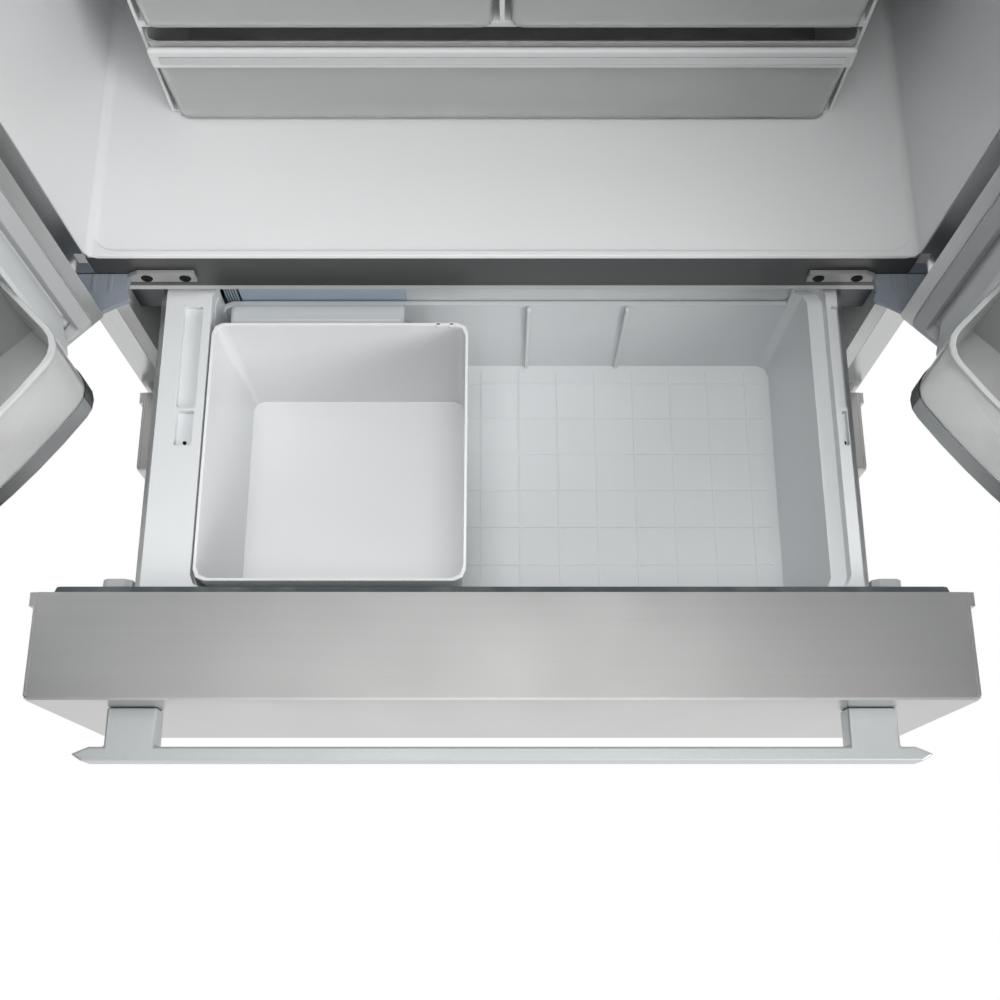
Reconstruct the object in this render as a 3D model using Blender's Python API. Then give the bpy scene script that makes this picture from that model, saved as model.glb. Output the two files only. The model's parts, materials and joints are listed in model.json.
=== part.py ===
"""French door refrigerator, 36-inch class, with two freezer drawers.

Metres, +Z up, the front of the refrigerator faces -Y. The doors stand open and the
upper freezer drawer is pulled out; every other moving piece is closed.
"""
import math

import bmesh
import bpy
from mathutils import Matrix, Vector

for old in list(bpy.data.objects):
    bpy.data.objects.remove(old, do_unlink=True)

# Clearances
GAP = 0.0003                  # between two pieces that touch
RUN = 0.0005                  # between two pieces that slide on each other
SHEET = 0.001                 # steel sheet
PLASTIC = 0.0015              # vacuum-formed liner
WALL = 0.0025                 # moulded tubs and bins

# Cabinet
WIDTH = 0.905
TOP_Z = 1.745
BASE_Z = 0.034
DEPTH = 0.735
HALF = WIDTH / 2
FLANGE = 0.028                # steel turned in around the front opening
FOAM_FRONT = 0.0125           # the foam starts this far behind the front plane

# Drawer fronts, measured from the cabinet's front plane
DRAWER_TRAVEL = 0.330
PANEL_THICK = 0.1045
PANEL_REAR = 0.0075           # panel's rear face ahead of the cabinet when closed
HANDLE_STAND = 0.038
HANDLE_THICK = 0.014
HANDLE_HIGH = 0.028

# The origin is the centre of the whole footprint with the upper drawer pulled out.
REACH = DRAWER_TRAVEL + PANEL_REAR + PANEL_THICK + HANDLE_STAND + HANDLE_THICK
FRONT = (REACH - DEPTH - GAP - SHEET) / 2
BACK = FRONT + DEPTH

# Fresh food compartment
LINER_HALF = HALF - FLANGE - GAP - PLASTIC
FRIDGE_FLOOR = 0.751
FRIDGE_TOP = TOP_Z - FLANGE - GAP - PLASTIC
FRIDGE_DEPTH = DEPTH - 0.070
LINER_CORNER = 0.012

# Freezer compartment, with a step over the machine compartment
FREEZER_HALF = HALF - 0.044
FREEZER_TOP = 0.6963
FREEZER_FLOOR = 0.126
FREEZER_DEPTH = DEPTH - 0.135
MACHINE_Y = DEPTH - 0.235
MACHINE_TOP = 0.300
STEP_DEPTH = MACHINE_Y - 0.050
STEP_Z = MACHINE_TOP + 0.040
MACHINE_WALL = 0.020

# Rails across the front opening
RAIL_TOP = FRIDGE_FLOOR - PLASTIC - GAP
RAIL_BOTTOM = FREEZER_TOP + PLASTIC + GAP
RAIL_THICK = 0.012
LIP_HIGH = 0.013
BRACKET_THICK = 0.0052
LIP_HALF = FREEZER_HALF - 0.0065
DIVIDER_LOW = 0.410
DIVIDER_HIGH = 0.450

# Doors
DOOR_LOW = FRIDGE_FLOOR - 0.031
DOOR_TOP = TOP_Z + 0.010
DOOR_THICK = 0.095
DOOR_SPACE = 0.012            # the gasket's space between door and cabinet
DOOR_GAP = 0.003              # between the two doors
DOOR_OPEN = 135.0
PIVOT_IN = 0.014              # hinge pin, inward from the door's side
PIVOT_AHEAD = 0.040           # hinge pin, ahead of the cabinet
DIKE_OUT = 0.0355             # raised wall of the inner door, from the hinge edge
DIKE_FREE = 0.050             # and from the free edge
DIKE_WIDE = 0.0245
DIKE_SLOPE = 0.0195            # how far the wall leans in over its reach
DIKE_REACH = 0.019
DOOR_HEM = 0.013              # steel folded in behind the door's edges
RECESS = 0.018
BIN_REACH = 0.100
BIN_HIGH = 0.118
BIN_CORNER = 0.026
BIN_BOW = 0.013               # the bins' fronts bulge this far in the middle
UPPER_BIN = (1.160, 1.270)
SEAL_EDGE = 0.013             # gasket, in from the cabinet's side and the panel's edge
SEAL_WIDE = 0.016
SEAL_FREE = (0.012, 0.030)    # gasket along the free edge, from the centre line
SEAL_HINGE = (0.0135, 0.034)  # gasket along the hinge edge, from the cabinet's side
GRIP_HALF = 0.417             # half the length of every bar handle
POST_AT = 0.361
POST_WIDE = 0.049
GRIP_FREE = 0.038             # door handle, in from the centre line

# Upper and lower freezer drawers
UPPER_LOW = 0.434
UPPER_HIGH = DOOR_LOW - 0.018
LOWER_LOW = 0.095
LOWER_HIGH = 0.4255
TUB_HALF = FREEZER_HALF - 0.0415
TUB_LEDGE = 0.0335            # room over the slides, beside the tub's wall
UPPER_LEDGE = (0.055, 0.018)  # flat top of the upper tub's ledges, left and right
TUB_LEDGE_THICK = 0.017
UPPER_TUB = (0.470, 0.672)
LOWER_TUB = (0.135, 0.402)
UPPER_TUB_LONG = 0.346
LOWER_TUB_LONG = STEP_DEPTH - 0.030
ICE_BIN_X = (-TUB_HALF + 0.057, -0.036)
ICE_BIN_Y = (0.012, 0.297)    # from the front of the upper tub

# Fresh food drawers and shelves
SHELF_BACK = 0.160            # set back behind the door bins
SHELF_END = FRIDGE_DEPTH - 0.045
STORE_HALF = HALF - 0.1075    # clears the bins of the open doors
PANTRY = (FRIDGE_FLOOR + 0.005, FRIDGE_FLOOR + 0.129)
CRISPER = (PANTRY[1] + 0.016, PANTRY[1] + 0.208)
FRAME_TOP = CRISPER[1] + 0.016
GLASS = 0.004
UPPER_SHELF = 1.400

PALETTE = {
    "stainless": ((0.62, 0.62, 0.61), 1.0, 0.32, 0.0),
    "steel_grey": ((0.42, 0.43, 0.44), 0.6, 0.35, 0.0),
    "dark_rail": ((0.07, 0.07, 0.07), 0.3, 0.45, 0.0),
    "bracket": ((0.55, 0.56, 0.57), 0.7, 0.40, 0.0),
    "liner": ((0.74, 0.76, 0.76), 0.0, 0.40, 0.0),
    "grey_plastic": ((0.42, 0.45, 0.47), 0.0, 0.45, 0.0),
    "gasket": ((0.12, 0.14, 0.15), 0.0, 0.70, 0.0),
    "handle": ((0.66, 0.69, 0.70), 0.9, 0.28, 0.0),
    "tub": ((0.72, 0.74, 0.75), 0.0, 0.38, 0.0),
    "ice": ((0.82, 0.83, 0.84), 0.0, 0.35, 0.0),
    "clear": ((0.90, 0.94, 0.95), 0.0, 0.08, 0.9),
    "glass": ((0.82, 0.92, 0.90), 0.0, 0.04, 0.95),
    "foam": ((0.78, 0.70, 0.48), 0.0, 0.90, 0.0),
    "zinc": ((0.50, 0.51, 0.52), 1.0, 0.45, 0.0),
    "black": ((0.03, 0.03, 0.03), 0.0, 0.50, 0.0),
}


def rect(u0, u1, v0, v1, radius=0.003, steps=2):
    """Corner points of a rounded rectangle, always the same count for one step count."""
    radius = min(radius, (u1 - u0) / 2.01, (v1 - v0) / 2.01)
    centres = (
        (u1 - radius, v1 - radius, 0.0),
        (u0 + radius, v1 - radius, 90.0),
        (u0 + radius, v0 + radius, 180.0),
        (u1 - radius, v0 + radius, 270.0),
    )
    points = []
    for cu, cv, start in centres:
        for step in range(steps + 1):
            angle = math.radians(start + 90.0 * step / steps)
            points.append((cu + radius * math.cos(angle), cv + radius * math.sin(angle)))
    return points


def at_x(points, x):
    return [(x, u, v) for u, v in points]


def at_y(points, y):
    return [(u, y, v) for u, v in points]


def at_z(points, z):
    return [(u, v, z) for u, v in points]


def loft(rings, cyclic=False):
    """One closed body through rings that have the same number of points."""
    bm = bmesh.new()
    rows = [[bm.verts.new(point) for point in ring] for ring in rings]
    count = len(rows[0])
    pairs = list(zip(rows, rows[1:]))
    if cyclic:
        pairs.append((rows[-1], rows[0]))
    for row, following in pairs:
        for i in range(count):
            j = (i + 1) % count
            bm.faces.new((row[i], row[j], following[j], following[i]))
    if not cyclic:
        bm.faces.new(rows[0][::-1])
        bm.faces.new(rows[-1])
    bmesh.ops.recalc_face_normals(bm, faces=bm.faces)
    return bm


def box(x, y, z):
    return loft([
        [(x[0], y[0], level), (x[1], y[0], level), (x[1], y[1], level), (x[0], y[1], level)]
        for level in z
    ])


def boxes(spans):
    """Several separate blocks in one mesh, used as one cutter."""
    bm = bmesh.new()
    for x, y, z in spans:
        corners = [bm.verts.new((a, b, c)) for c in z for b in y for a in x]
        for face in ((0, 2, 3, 1), (4, 5, 7, 6), (0, 1, 5, 4), (2, 6, 7, 3), (0, 4, 6, 2), (1, 3, 7, 5)):
            bm.faces.new([corners[i] for i in face])
    bmesh.ops.recalc_face_normals(bm, faces=bm.faces)
    return bm


def lathe(centre, axis, profile, count=20):
    """Discs of (radius, distance along the axis) joined into one turned body."""
    rings = []
    for radius, along in profile:
        ring = []
        for i in range(count):
            angle = 2 * math.pi * i / count
            side = radius * math.cos(angle)
            up = radius * math.sin(angle)
            offset = {"X": (along, side, up), "Y": (side, along, up), "Z": (side, up, along)}[axis]
            ring.append(tuple(c + o for c, o in zip(centre, offset)))
        rings.append(ring)
    return loft(rings)


def add(name, bm, look, origin=(0.0, 0.0, 0.0)):
    """Makes the named piece with its own material and its origin where it turns or slides."""
    origin = Vector(origin)
    bmesh.ops.translate(bm, verts=bm.verts, vec=-origin)
    mesh = bpy.data.meshes.new(name)
    bm.to_mesh(mesh)
    bm.free()
    piece = bpy.data.objects.new(name, mesh)
    piece.location = origin
    bpy.context.scene.collection.objects.link(piece)
    colour, metallic, roughness, clear = PALETTE[look]
    material = bpy.data.materials.new(name + "_finish")
    material.use_nodes = True
    shader = material.node_tree.nodes["Principled BSDF"]
    shader.inputs["Base Color"].default_value = (*colour, 1.0)
    shader.inputs["Metallic"].default_value = metallic
    shader.inputs["Roughness"].default_value = roughness
    shader.inputs["Transmission Weight"].default_value = clear
    mesh.materials.append(material)
    return piece


def shape(piece, name, bm, operation="DIFFERENCE"):
    """Cuts a hidden body out of the piece, or joins it on."""
    mesh = bpy.data.meshes.new(name)
    bm.to_mesh(mesh)
    bm.free()
    cutter = bpy.data.objects.new(name, mesh)
    bpy.context.scene.collection.objects.link(cutter)
    cutter.hide_render = True
    cutter.display_type = "WIRE"
    cutter.parent = piece
    cutter.matrix_parent_inverse = Matrix.Translation(-piece.location)
    step = piece.modifiers.new(name, "BOOLEAN")
    step.operation = operation
    step.solver = "EXACT"
    step.object = cutter


def pair(side, near, far):
    """X span on one side of the centre line, from two distances."""
    return tuple(sorted((side * near, side * far)))


# ---------------------------------------------------------------- cabinet

# Pre-painted steel wrapper: two sides and the top in one bent sheet, flanged at the front.
wrap_section = [
    (0.0, FRONT), (FLANGE, FRONT), (FLANGE, FRONT + SHEET),
    (SHEET, FRONT + SHEET), (SHEET, BACK), (0.0, BACK),
]
wrap_path = [
    (-HALF, BASE_Z, 1, 0), (-HALF, TOP_Z, 1, -1), (HALF, TOP_Z, -1, -1), (HALF, BASE_Z, -1, 0),
]
add("cabinet_wrapper", loft([
    [(x + dx * inset, y, z + dz * inset) for inset, y in wrap_section]
    for x, z, dx, dz in wrap_path
]), "steel_grey")

# Rear panel with vents for the machine compartment.
rear = add("rear_panel", box(
    (-HALF + 0.002, HALF - 0.002), (BACK + GAP, BACK + GAP + SHEET), (BASE_Z + 0.004, TOP_Z - 0.002),
), "zinc")
VENT_X = [-0.36 + 0.06 * i for i in range(13)]
shape(rear, "rear_vents", boxes([
    ((x - 0.022, x + 0.022), (BACK - 0.01, BACK + 0.02), (z, z + 0.008))
    for z in (0.110, 0.140, 0.170, 0.200) for x in VENT_X
]))

# Base pan under the cabinet carries the feet, the rollers and the compressor.
add("base_pan", box(
    (-HALF + SHEET + GAP, HALF - SHEET - GAP), (FRONT + 0.030, BACK - 0.001), (BASE_Z, BASE_Z + 0.002),
), "zinc")

# Rigid foam between wrapper and liners.
foam_wall = SHEET + GAP
foam = add("insulation_foam", box(
    (-HALF + foam_wall, HALF - foam_wall),
    (FRONT + FOAM_FRONT, BACK),
    (BASE_Z + 0.002 + GAP, TOP_Z - foam_wall),
), "foam")
skin = PLASTIC + GAP
fridge_hole = rect(
    -LINER_HALF - skin, LINER_HALF + skin, FRIDGE_FLOOR - skin, FRIDGE_TOP + skin, LINER_CORNER,
)
shape(foam, "foam_fridge_space", loft([
    at_y(fridge_hole, FRONT), at_y(fridge_hole, FRONT + FRIDGE_DEPTH + skin),
]))


def freezer_profile(grow, front):
    """Side view of the freezer space, stepped over the machine compartment."""
    return [
        (front, FREEZER_FLOOR - grow),
        (FRONT + STEP_DEPTH + grow, FREEZER_FLOOR - grow),
        (FRONT + STEP_DEPTH + grow, STEP_Z - grow),
        (FRONT + FREEZER_DEPTH + grow, STEP_Z - grow),
        (FRONT + FREEZER_DEPTH + grow, FREEZER_TOP + grow),
        (front, FREEZER_TOP + grow),
    ]


shape(foam, "foam_freezer_space", loft([
    at_x(freezer_profile(skin, FRONT - 0.01), x)
    for x in (-FREEZER_HALF - skin, FREEZER_HALF + skin)
]))
shape(foam, "foam_machine_space", box(
    (-HALF + MACHINE_WALL, HALF - MACHINE_WALL), (FRONT + MACHINE_Y, BACK + 0.05), (0.0, MACHINE_TOP),
))

# Vacuum-formed liners.
inner = rect(-LINER_HALF, LINER_HALF, FRIDGE_FLOOR, FRIDGE_TOP, LINER_CORNER)
outer = rect(
    -LINER_HALF - PLASTIC, LINER_HALF + PLASTIC, FRIDGE_FLOOR - PLASTIC, FRIDGE_TOP + PLASTIC, LINER_CORNER,
)
add("fridge_liner", loft([
    at_y(inner, FRONT + FRIDGE_DEPTH), at_y(inner, FRONT),
    at_y(outer, FRONT), at_y(outer, FRONT + FRIDGE_DEPTH + PLASTIC),
]), "liner")

FACE_LOW = BASE_Z + 0.053
freezer = add("freezer_liner", box(
    (-LINER_HALF - PLASTIC, LINER_HALF + PLASTIC), (FRONT, FRONT + PLASTIC),
    (FACE_LOW, FREEZER_TOP + PLASTIC),
), "liner")
shape(freezer, "freezer_liner_shell", loft([
    at_x(freezer_profile(PLASTIC, FRONT + 0.0005), x)
    for x in (-FREEZER_HALF - PLASTIC, FREEZER_HALF + PLASTIC)
]), "UNION")
shape(freezer, "freezer_liner_space", loft([
    at_x(freezer_profile(0.0, FRONT - 0.01), x) for x in (-FREEZER_HALF, FREEZER_HALF)
]))

# Rails across the front, and the toe grille with its louvres.
rail_half = LINER_HALF + PLASTIC
add("mullion_front_rail", box(
    (-rail_half, rail_half), (FRONT, FRONT + RAIL_THICK), (RAIL_BOTTOM, RAIL_TOP),
), "dark_rail")
add("mullion_lower_trim", box(
    (-LIP_HALF, LIP_HALF), (FRONT, FRONT + 0.010),
    (FREEZER_TOP - GAP - LIP_HIGH, FREEZER_TOP - GAP),
), "bracket")
add("drawer_divider_rail", box(
    (-FREEZER_HALF + GAP, FREEZER_HALF - GAP), (FRONT, FRONT + 0.030), (DIVIDER_LOW, DIVIDER_HIGH),
), "steel_grey")
grille = add("toe_grille", box(
    (-rail_half, rail_half), (FRONT + 0.002, FRONT + 0.012), (BASE_Z + 0.002, FACE_LOW - GAP),
), "grey_plastic")
shape(grille, "toe_grille_louvres", boxes([
    ((x - 0.085, x + 0.085), (FRONT - 0.01, FRONT + 0.03), (z, z + 0.005))
    for z in (BASE_Z + 0.012, BASE_Z + 0.024, BASE_Z + 0.036) for x in (-0.30, -0.10, 0.10, 0.30)
]))

# Hinges. The lower bracket is bolted to the mullion rail and carries the door on a tongue.
for side, word in ((-1, "left"), (1, "right")):
    bar = [(HALF - inset, DOOR_LOW + up) for inset, up in (
        (0.1335, -0.0102), (0.1335, 0.0072), (0.0745, 0.0072), (0.0645, 0.0012), (0.0560, -0.0102),
    )]
    bracket = add("hinge_bracket_" + word, loft([
        [(side * x, y, z) for x, z in bar] for y in (FRONT - BRACKET_THICK, FRONT - GAP)
    ]), "bracket")
    tongue = [(HALF - inset, FRONT - ahead) for inset, ahead in (
        (0.0655, GAP), (0.0075, GAP), (0.0055, 0.030), (0.0115, 0.053), (0.0225, 0.056),
        (0.0412, 0.0435), (0.0560, 0.0355), (0.0650, 0.0325), (0.0672, 0.0285), (0.0635, 0.0215),
    )]
    shape(bracket, "hinge_tongue_" + word, loft([
        at_z([(side * x, y) for x, y in tongue], z) for z in (DOOR_LOW - 0.0075, DOOR_LOW - 0.0012)
    ]), "UNION")
    arm = [
        (FRONT + 0.003, TOP_Z + GAP), (FRONT + 0.110, TOP_Z + GAP), (FRONT + 0.110, TOP_Z + 0.030),
        (FRONT + 0.102, TOP_Z + 0.035), (FRONT - 0.052, TOP_Z + 0.035), (FRONT - 0.060, TOP_Z + 0.030),
        (FRONT - 0.060, DOOR_TOP + 0.002), (FRONT + 0.003, DOOR_TOP + 0.002),
    ]
    add("top_hinge_" + word, loft([
        at_x(arm, side * x) for x in (HALF - 0.0575, HALF - 0.0055)
    ]), "grey_plastic")

# Feet at the front and rollers at the back.
FOOT_IN = 0.0725
for side, word in ((-1, "left"), (1, "right")):
    add("leveling_foot_" + word, lathe((side * (HALF - FOOT_IN), FRONT + 0.070, 0.0), "Z", [
        (0.020, 0.0), (0.022, 0.003), (0.022, 0.009), (0.008, 0.011), (0.008, BASE_Z - GAP),
    ], 16), "zinc")
    roller_radius = (BASE_Z - 0.001) / 2
    roller_at = (side * (HALF - FOOT_IN), BACK - 0.095, roller_radius)
    add("rear_roller_" + word, lathe(roller_at, "X", [
        (roller_radius * 0.9, -0.011), (roller_radius, -0.009), (roller_radius, 0.009),
        (roller_radius * 0.9, 0.011),
    ], 24), "black", roller_at)

# Machine compartment.
add("compressor", lathe((-0.220, BACK - 0.115, BASE_Z + 0.002 + GAP), "Z", [
    (0.072, 0.0), (0.072, 0.006), (0.078, 0.030), (0.080, 0.090), (0.076, 0.130), (0.058, 0.156),
    (0.020, 0.168),
], 24), "black")
fan_at = (0.140, BACK - 0.115, 0.160)
fan_outline = []
for blade in range(5):
    for radius, turn in ((0.020, -14), (0.052, -20), (0.078, -6), (0.080, 14), (0.056, 22), (0.020, 16)):
        angle = math.radians(72 * blade + turn)
        fan_outline.append((fan_at[0] + radius * math.cos(angle), fan_at[2] + radius * math.sin(angle)))
add("condenser_fan", loft([
    at_y(fan_outline, fan_at[1] - 0.008), at_y(fan_outline, fan_at[1] + 0.008),
]), "black", fan_at)

# Ice maker under the freezer ceiling, with its chute over the ice bin.
maker_y = FRONT + FREEZER_DEPTH - 0.240
maker = [
    (maker_y - 0.110, FREEZER_TOP - GAP), (maker_y - 0.110, UPPER_TUB[1] + 0.006),
    (maker_y - 0.005, UPPER_TUB[1] + 0.004), (maker_y, 0.605), (maker_y + 0.110, 0.605),
    (maker_y + 0.120, 0.620), (maker_y + 0.120, FREEZER_TOP - GAP),
]
add("ice_maker", loft([at_x(maker, x) for x in (-0.300, -0.110)]), "grey_plastic")

# ---------------------------------------------------------------- fresh food fittings

frame_y = (FRONT + SHELF_BACK + 0.015, FRONT + SHELF_END)
frame_half = STORE_HALF + WALL + 0.003
frame = add("crisper_frame", box(
    (-frame_half, frame_half), frame_y, (FRIDGE_FLOOR + GAP, FRAME_TOP),
), "liner")
shape(frame, "crisper_frame_shelf", box(
    (-LINER_HALF + GAP, LINER_HALF - GAP), frame_y, (FRAME_TOP - 0.012, FRAME_TOP),
), "UNION")
through = (FRONT, FRONT + 0.70)
shape(frame, "crisper_frame_spaces", boxes([
    ((-STORE_HALF - 0.002, STORE_HALF + 0.002), through, (PANTRY[0] - 0.0015, PANTRY[1] + 0.004)),
    ((-STORE_HALF - 0.002, -0.0025), through, (CRISPER[0] - 0.004, CRISPER[1] + 0.003)),
    ((0.0025, STORE_HALF + 0.002), through, (CRISPER[0] - 0.004, CRISPER[1] + 0.003)),
]))
add("crisper_cover_glass", box(
    (-LINER_HALF + 0.012, LINER_HALF - 0.012), frame_y, (FRAME_TOP + GAP, FRAME_TOP + GAP + GLASS),
), "glass")
add("upper_shelf_glass", box(
    (-LINER_HALF + GAP, LINER_HALF - GAP), (FRONT + SHELF_BACK, FRONT + SHELF_END),
    (UPPER_SHELF, UPPER_SHELF + 0.006),
), "glass")


def tray(x, y, z, wall, corner, draft=0.0, lip=0.0, lip_thick=0.004):
    """Open-topped moulded box: draft narrows the foot, a lip widens the rim."""
    foot = rect(x[0] + draft, x[1] - draft, y[0] + draft, y[1] - draft, corner)
    neck = rect(x[0] + lip, x[1] - lip, y[0] + lip, y[1] - lip, corner)
    rim = rect(x[0], x[1], y[0], y[1], corner)
    step = lip + wall
    mouth = rect(x[0] + step, x[1] - step, y[0] + step, y[1] - step, corner)
    inset = max(draft, lip) + wall
    floor = rect(x[0] + inset, x[1] - inset, y[0] + inset, y[1] - inset, corner)
    rings = [at_z(foot, z[0])]
    if lip > 0.0:
        rings.append(at_z(neck, z[1] - lip_thick))
        rings.append(at_z(rim, z[1] - lip_thick))
    rings.extend([at_z(rim, z[1]), at_z(mouth, z[1]), at_z(floor, z[0] + wall)])
    return loft(rings)


store_y = (FRONT + SHELF_BACK, FRONT + SHELF_END - 0.020)
add("pantry_drawer", tray(
    (-STORE_HALF, STORE_HALF), store_y, PANTRY, WALL, 0.010, 0.004,
), "clear", (0.0, store_y[0], PANTRY[0]))
for side, word in ((-1, "left"), (1, "right")):
    add("crisper_" + word, tray(
        pair(side, 0.0045, STORE_HALF), store_y, CRISPER, WALL, 0.010, 0.004,
    ), "clear", (side * STORE_HALF / 2, store_y[0], CRISPER[0]))


# ---------------------------------------------------------------- handles and doors

def handle_outline(face):
    """Bar on two posts, seen across its thickness: (along, outward) with the tips bevelled."""
    back = face - HANDLE_STAND
    front = back - HANDLE_THICK
    near = POST_AT - POST_WIDE / 2
    far = POST_AT + POST_WIDE / 2
    right_end = [
        (near, back), (near, face - GAP), (far, face - GAP), (far, back),
        (GRIP_HALF - 0.017, back), (GRIP_HALF, front + 0.007), (GRIP_HALF - 0.011, front),
    ]
    left_end = [(-along, outward) for along, outward in reversed(right_end)]
    return right_end + left_end


def bowed(x, y, inset):
    """Plan of a door bin: square at the back, with round front corners and a bulging front."""
    x = (x[0] + inset, x[1] - inset)
    y = (y[0] + inset, y[1] - inset)
    centre_y = y[1] - BIN_BOW - BIN_CORNER
    arc = [math.radians(20.0 * step) for step in range(5)]
    across = [BIN_CORNER * math.cos(angle) for angle in arc]
    along = [centre_y + BIN_CORNER * math.sin(angle) for angle in arc]
    right = [(x[1] - BIN_CORNER + out, up) for out, up in zip(across, along)]
    left = [(x[0] + BIN_CORNER - out, up) for out, up in zip(across, along)][::-1]
    middle = (x[0] + x[1]) / 2
    half = right[-1][0] - middle
    bulge = [
        (middle + half * part, along[-1] + (y[1] - along[-1]) * (1.0 - part * part))
        for part in (0.75, 0.5, 0.25, 0.0, -0.25, -0.5, -0.75)
    ]
    return [(x[1], y[0])] + right + bulge + left + [(x[0], y[0])]


def swing(bm, side, point, degrees):
    bmesh.ops.rotate(
        bm, verts=bm.verts, cent=point, matrix=Matrix.Rotation(math.radians(side * degrees), 3, "Z"),
    )
    return bm


door_rear = FRONT - DOOR_SPACE
door_face = door_rear - DOOR_THICK
for side, word in ((-1, "left"), (1, "right")):
    pin = (side * (HALF - PIVOT_IN), FRONT - PIVOT_AHEAD, 0.0)
    edge = pair(side, DOOR_GAP / 2, HALF)

    def grown(inset):
        return rect(edge[0] + inset, edge[1] - inset, DOOR_LOW + inset, DOOR_TOP - inset, 0.004)

    add("door_skin_" + word, swing(loft([
        at_y(grown(SHEET), door_face + SHEET), at_y(grown(SHEET), door_rear - SHEET),
        at_y(grown(DOOR_HEM), door_rear - SHEET), at_y(grown(DOOR_HEM), door_rear),
        at_y(grown(0.0), door_rear), at_y(grown(0.0), door_face + 0.002), at_y(grown(0.002), door_face),
    ]), side, pin, DOOR_OPEN), "stainless", pin)

    # Inner door: formed plastic over foam, with a raised wall around the bins.
    dike = pair(side, DOOR_GAP / 2 + DIKE_FREE, HALF - DIKE_OUT)
    hollow = (dike[0] + DIKE_WIDE, dike[1] - DIKE_WIDE)
    dike_z = (FRIDGE_FLOOR + 0.003, FRIDGE_TOP - 0.006)
    hollow_z = (dike_z[0] + 0.0045, dike_z[1] - DIKE_WIDE)
    add("door_liner_" + word, swing(loft([
        at_y(grown(SHEET + GAP), door_face + SHEET + GAP),
        at_y(grown(SHEET + GAP), door_rear - SHEET - GAP),
        at_y(grown(DOOR_HEM + GAP), door_rear - SHEET - GAP),
        at_y(grown(DOOR_HEM + GAP), door_rear),
        at_y(rect(dike[0], dike[1], dike_z[0], dike_z[1], 0.016), door_rear),
        at_y(rect(dike[0] + DIKE_SLOPE, dike[1] - DIKE_SLOPE, dike_z[0] + 0.001, dike_z[1] - DIKE_SLOPE,
                  0.008), FRONT + DIKE_REACH),
        at_y(rect(hollow[0], hollow[1], hollow_z[0], hollow_z[1], 0.0012), FRONT + DIKE_REACH),
        at_y(rect(hollow[0], hollow[1], hollow_z[0], hollow_z[1], 0.0012), door_rear - RECESS),
    ]), side, pin, DOOR_OPEN), "liner", pin)

    # Magnetic gasket, a hollow profile shown as a closed strip.
    seal_x = pair(side, SEAL_FREE[0], HALF - SEAL_HINGE[0])
    seal_in = pair(side, SEAL_FREE[1], HALF - SEAL_HINGE[1])
    seal_z = (RAIL_TOP - 0.0127, TOP_Z - 0.007)
    seal_in_z = (RAIL_TOP - GAP, seal_z[1] - SEAL_WIDE)
    soft = 0.003
    add("door_gasket_" + word, swing(loft([
        at_y(rect(seal_x[0], seal_x[1], seal_z[0], seal_z[1], 0.006), door_rear + GAP),
        at_y(rect(seal_x[0] + soft, seal_x[1] - soft, seal_z[0] + soft, seal_z[1] - soft, 0.006),
             FRONT - GAP),
        at_y(rect(seal_in[0] - soft, seal_in[1] + soft, seal_in_z[0] - soft, seal_in_z[1] + soft, 0.006),
             FRONT - GAP),
        at_y(rect(seal_in[0], seal_in[1], seal_in_z[0], seal_in_z[1], 0.006), door_rear + GAP),
    ], cyclic=True), side, pin, DOOR_OPEN), "gasket", pin)

    grip_z = (DOOR_LOW + DOOR_TOP) / 2
    grip = [(y, grip_z + along) for along, y in handle_outline(door_face)]
    grip_x = pair(side, GRIP_FREE, GRIP_FREE + HANDLE_HIGH)
    add("door_handle_" + word, swing(loft([
        at_x(grip, grip_x[0]), at_x(grip, grip_x[1]),
    ]), side, pin, DOOR_OPEN), "handle", pin)

    lower_bin = (hollow_z[0] + 0.0015, hollow_z[0] + 0.0015 + BIN_HIGH)
    for level, (low, high) in (("lower", lower_bin), ("upper", UPPER_BIN)):
        wide = (hollow[0] + 0.001, hollow[1] - 0.001)
        deep = (door_rear - RECESS + GAP, FRONT + BIN_REACH)
        add("door_bin_" + level + "_" + word, swing(loft([
            at_z(bowed(wide, deep, 0.003), low), at_z(bowed(wide, deep, 0.0), high),
            at_z(bowed(wide, deep, WALL), high), at_z(bowed(wide, deep, 0.003 + WALL), low + WALL),
        ]), side, pin, DOOR_OPEN), "clear", pin)

# Flipper mullion on the left door closes the middle; it folds as that door opens.
left_pin = (-HALF + PIVOT_IN, FRONT - PIVOT_AHEAD, 0.0)
FLIP_X = -0.040
FLIP_THICK = 0.0155
flip_pin = (FLIP_X, FRONT + GAP + FLIP_THICK / 2, 0.0)
flipper = loft([
    at_z(rect(FLIP_X - 0.006, 0.034, FRONT + GAP, FRONT + GAP + FLIP_THICK, 0.004), z)
    for z in (FRIDGE_FLOOR + 0.006, FRIDGE_TOP - 0.006)
])
swing(flipper, 1, flip_pin, 90.0)
swing(flipper, -1, left_pin, DOOR_OPEN)
flip_vector = Vector(flip_pin) - Vector(left_pin)
flip_vector.rotate(Matrix.Rotation(math.radians(-DOOR_OPEN), 3, "Z"))
add("flipper_mullion", flipper, "grey_plastic", Vector(left_pin) + flip_vector)


# ---------------------------------------------------------------- freezer drawers

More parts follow.
